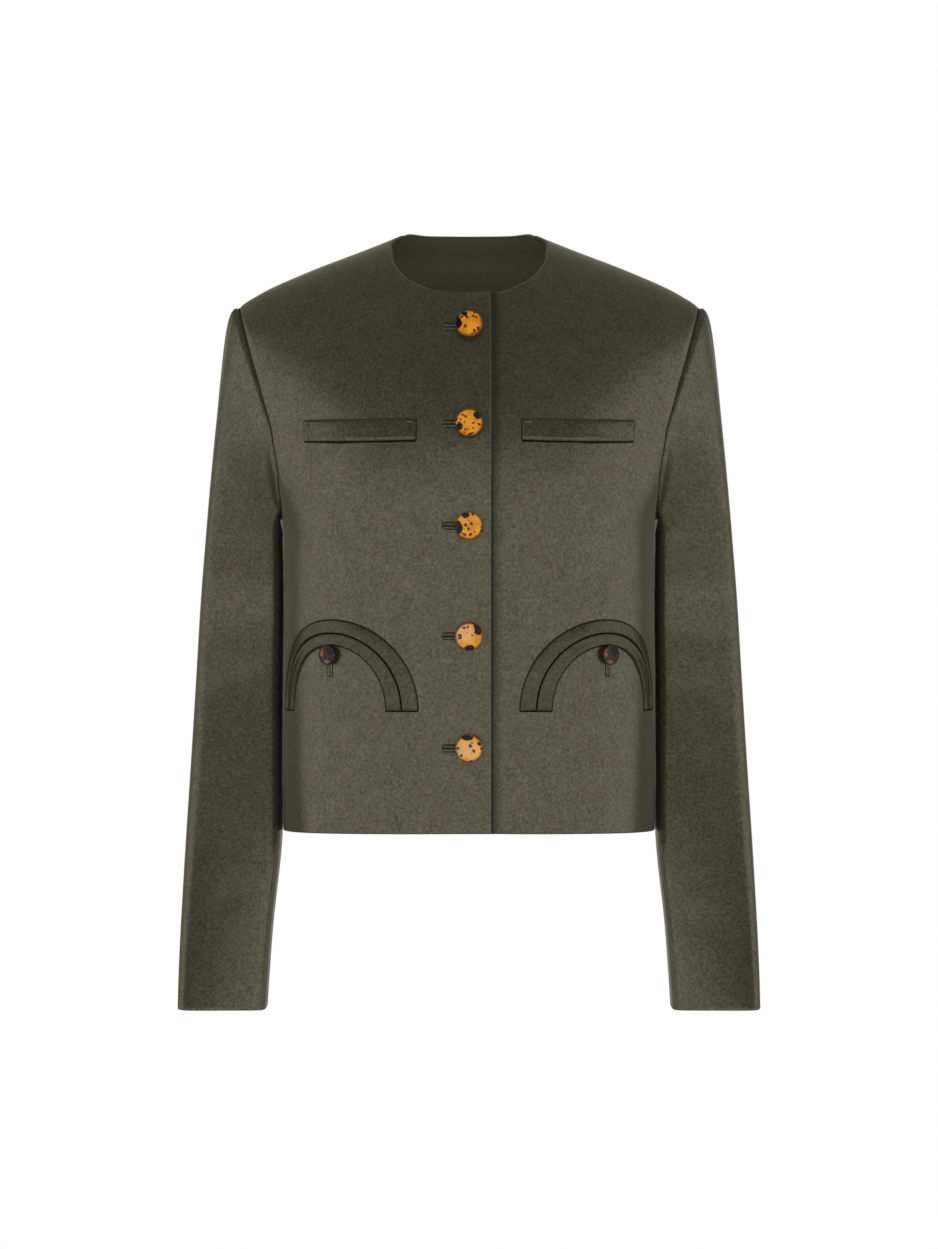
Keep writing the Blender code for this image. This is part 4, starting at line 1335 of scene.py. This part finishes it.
def add_chest_welt(name, side):
    """A straight breast welt, sewn along its top, with a free lower edge that sags a little."""
    along, height = tapered(CHEST_WELT_LENGTH, WELT_STEPS)
    across, tops = np.array(WELT).T
    bottom = welt_bottom(along)
    heights = bottom + (CHEST_WELT_TOP - bottom) * across
    return add_laid(name, CHEST_WELT_START + along, heights, tops * height, side, shaded_welt_satin)


def add_breast_pocket(hand, side):
    """Breast welt with painted shade under its free edge, at its top and ends, and its tack and pale
    stitch.
    """
    piece, area = add_chest_welt(f"chest_welt_{hand}_satin", side)
    size = (CHEST_WELT_LENGTH, CHEST_WELT_TOP - CHEST_WELT_BOTTOM + CHEST_WELT_SAG)
    declare_cloth(f"chest_welt_{hand}", size, area)
    along = np.linspace(0.0, CHEST_WELT_LENGTH, WELT_STEPS)
    girths = CHEST_WELT_START + along
    rows = along / CHEST_WELT_LENGTH * (len(CHEST_SHADOW_WIDTHS) - 1)
    widths = spline(np.array(CHEST_SHADOW_WIDTHS)[:, None], rows)[:, 0]
    mouth = np.stack([girths, welt_bottom(along) - CHEST_SHADOW_DROP], axis=1)
    add_line(f"chest_welt_shadow_{hand}", mouth, widths, CHEST_SHADOW_TOP, side, mouth_shadow)
    top = np.stack([girths, np.full(WELT_STEPS, CHEST_WELT_TOP + CHEST_SEAM_RISE)], axis=1)
    add_line(f"chest_seam_{hand}", top, *CHEST_SEAM_LINE, side, painted_edge_shade)
    rise = np.linspace(CHEST_WELT_BOTTOM, CHEST_WELT_TOP, LIP_STEPS)
    for end, girth in (
        ("near", CHEST_WELT_START - CHEST_END_OUT),
        ("far", CHEST_WELT_START + CHEST_WELT_LENGTH + CHEST_END_OUT),
    ):
        path = np.stack([np.full(LIP_STEPS, girth), rise], axis=1)
        add_line(f"chest_{end}_end_{hand}", path, *CHEST_END_LINE, side, thread_and_seam_shade)
    tack = np.array(TACK) + TACK_RADIUS * circle(ROUND_STEPS, closed=True)
    add_line(f"chest_tack_{hand}", tack, *TACK_LINE, side, thread_and_seam_shade)
    stitch = np.linspace(*PALE_STITCH, LIP_STEPS)
    add_line(f"chest_stitch_{hand}", stitch, *STITCH_LINE, side, stitch_thread)


def add_lap_shadow_line():
    """A painted shadow: a dark strip on the left front along the lap's edge."""
    width, top = LAP_SHADOW_LINE
    heights = np.linspace(SECTIONS[0].inner[1], SECTIONS[FRONT_NECK].inner[1], ARCH_STEPS)
    path = np.stack([np.full(ARCH_STEPS, LAP + width / 2), heights], axis=1)
    add_line("lap_shadow_line", path, width, top, SIDES["left"], painted_edge_shade)


def add_floor():
    """A plain pale floor where a standing wearer's would be."""
    rim = np.pad(circle(FLOOR_SIDES), ((0, 0), (0, 1))) * FLOOR_RADIUS * MM
    mesh = bpy.data.meshes.new("floor")
    mesh.from_pydata(rim.tolist(), [], [list(range(FLOOR_SIDES))])
    mesh.materials.append(Finish(bpy.data.materials.new("pale floor")).surface({
        "Base Color": shade(FLOOR_COLOUR),
        "Roughness": 0.9,
        "Emission Color": shade(WHITE),
        "Emission Strength": FLOOR_GLOW,
    }))
    floor = bpy.data.objects.new("floor", mesh)
    floor.location = (0.0, 0.0, FLOOR_HEIGHT * MM)
    floor.visible_diffuse = False
    floor.visible_glossy = False
    bpy.context.scene.collection.objects.link(floor)


def add_light():
    """Soft studio light: a bright band round the front, and a plain white ground behind the jacket."""
    finish = Finish(bpy.data.worlds.new("studio"))
    bpy.context.scene.world = finish.owner
    seen = finish.node("ShaderNodeLightPath", {}, {}, "Is Camera Ray")
    way = finish.place("Generated")
    height = finish.along(way, "Z")
    aside = finish.along(way, "X")
    aside = aside.maths("ABSOLUTE", aside) - LIGHT_SIDE_FROM
    height_there = height - aside.maths("MAXIMUM", aside, 0.0) * LIGHT_SIDE_RISE
    low = 1 - finish.step(height_there, *LIGHT_TOP)
    low = low * (finish.step(height, *LIGHT_BOTTOM) * (1 - LIGHT_BELOW) + LIGHT_BELOW)
    front = 1 - finish.step(finish.along(way, "Y"), *LIGHT_BACK)
    glow = (front * (1 - LIGHT_BEHIND) + LIGHT_BEHIND) * low * LIGHT_BAND + LIGHT_ABOVE
    strength = seen + (1 - seen) * glow
    finish.feed(finish.tree.nodes["Background"], {"Color": shade(WHITE), "Strength": strength})


def add_camera():
    """Camera at the photograph's angle, with plain view colours."""
    scene = bpy.context.scene
    scene.view_settings.view_transform = "Standard"
    camera = bpy.data.cameras.new("camera")
    camera.sensor_fit = "HORIZONTAL"
    camera.sensor_width = SENSOR
    camera.lens = SENSOR * CAMERA_DISTANCE / (PHOTO_SIZE[0] * MM_PER_PIXEL)
    eye = bpy.data.objects.new("camera", camera)
    scene.collection.objects.link(eye)
    eye.location = (0.0, -CAMERA_DISTANCE * MM, CAMERA_HEIGHT * MM)
    eye.rotation_euler = (np.pi / 2, 0.0, 0.0)
    scene.camera = eye


front_satin = {"right": body_satin, "left": lap_shaded_satin}
for hand, side in SIDES.items():
    add_panel(f"front_{hand}", front_net(side), front_satin[hand])
    add_panel(f"sleeve_{hand}", sleeve_net(side), sleeve_satin)
    add_armhole_shade(hand, side)
    add_breast_pocket(hand, side)
    add_pocket(hand, side)
add_panel("back", back_net(), body_satin)
for number, (height, clouds) in enumerate(zip(BUTTON_HEIGHTS, BUTTON_CLOUDS), 1):
    add_fastening(number, height, clouds)
add_lap_shadow_line()
add_floor()
add_light()
add_camera()
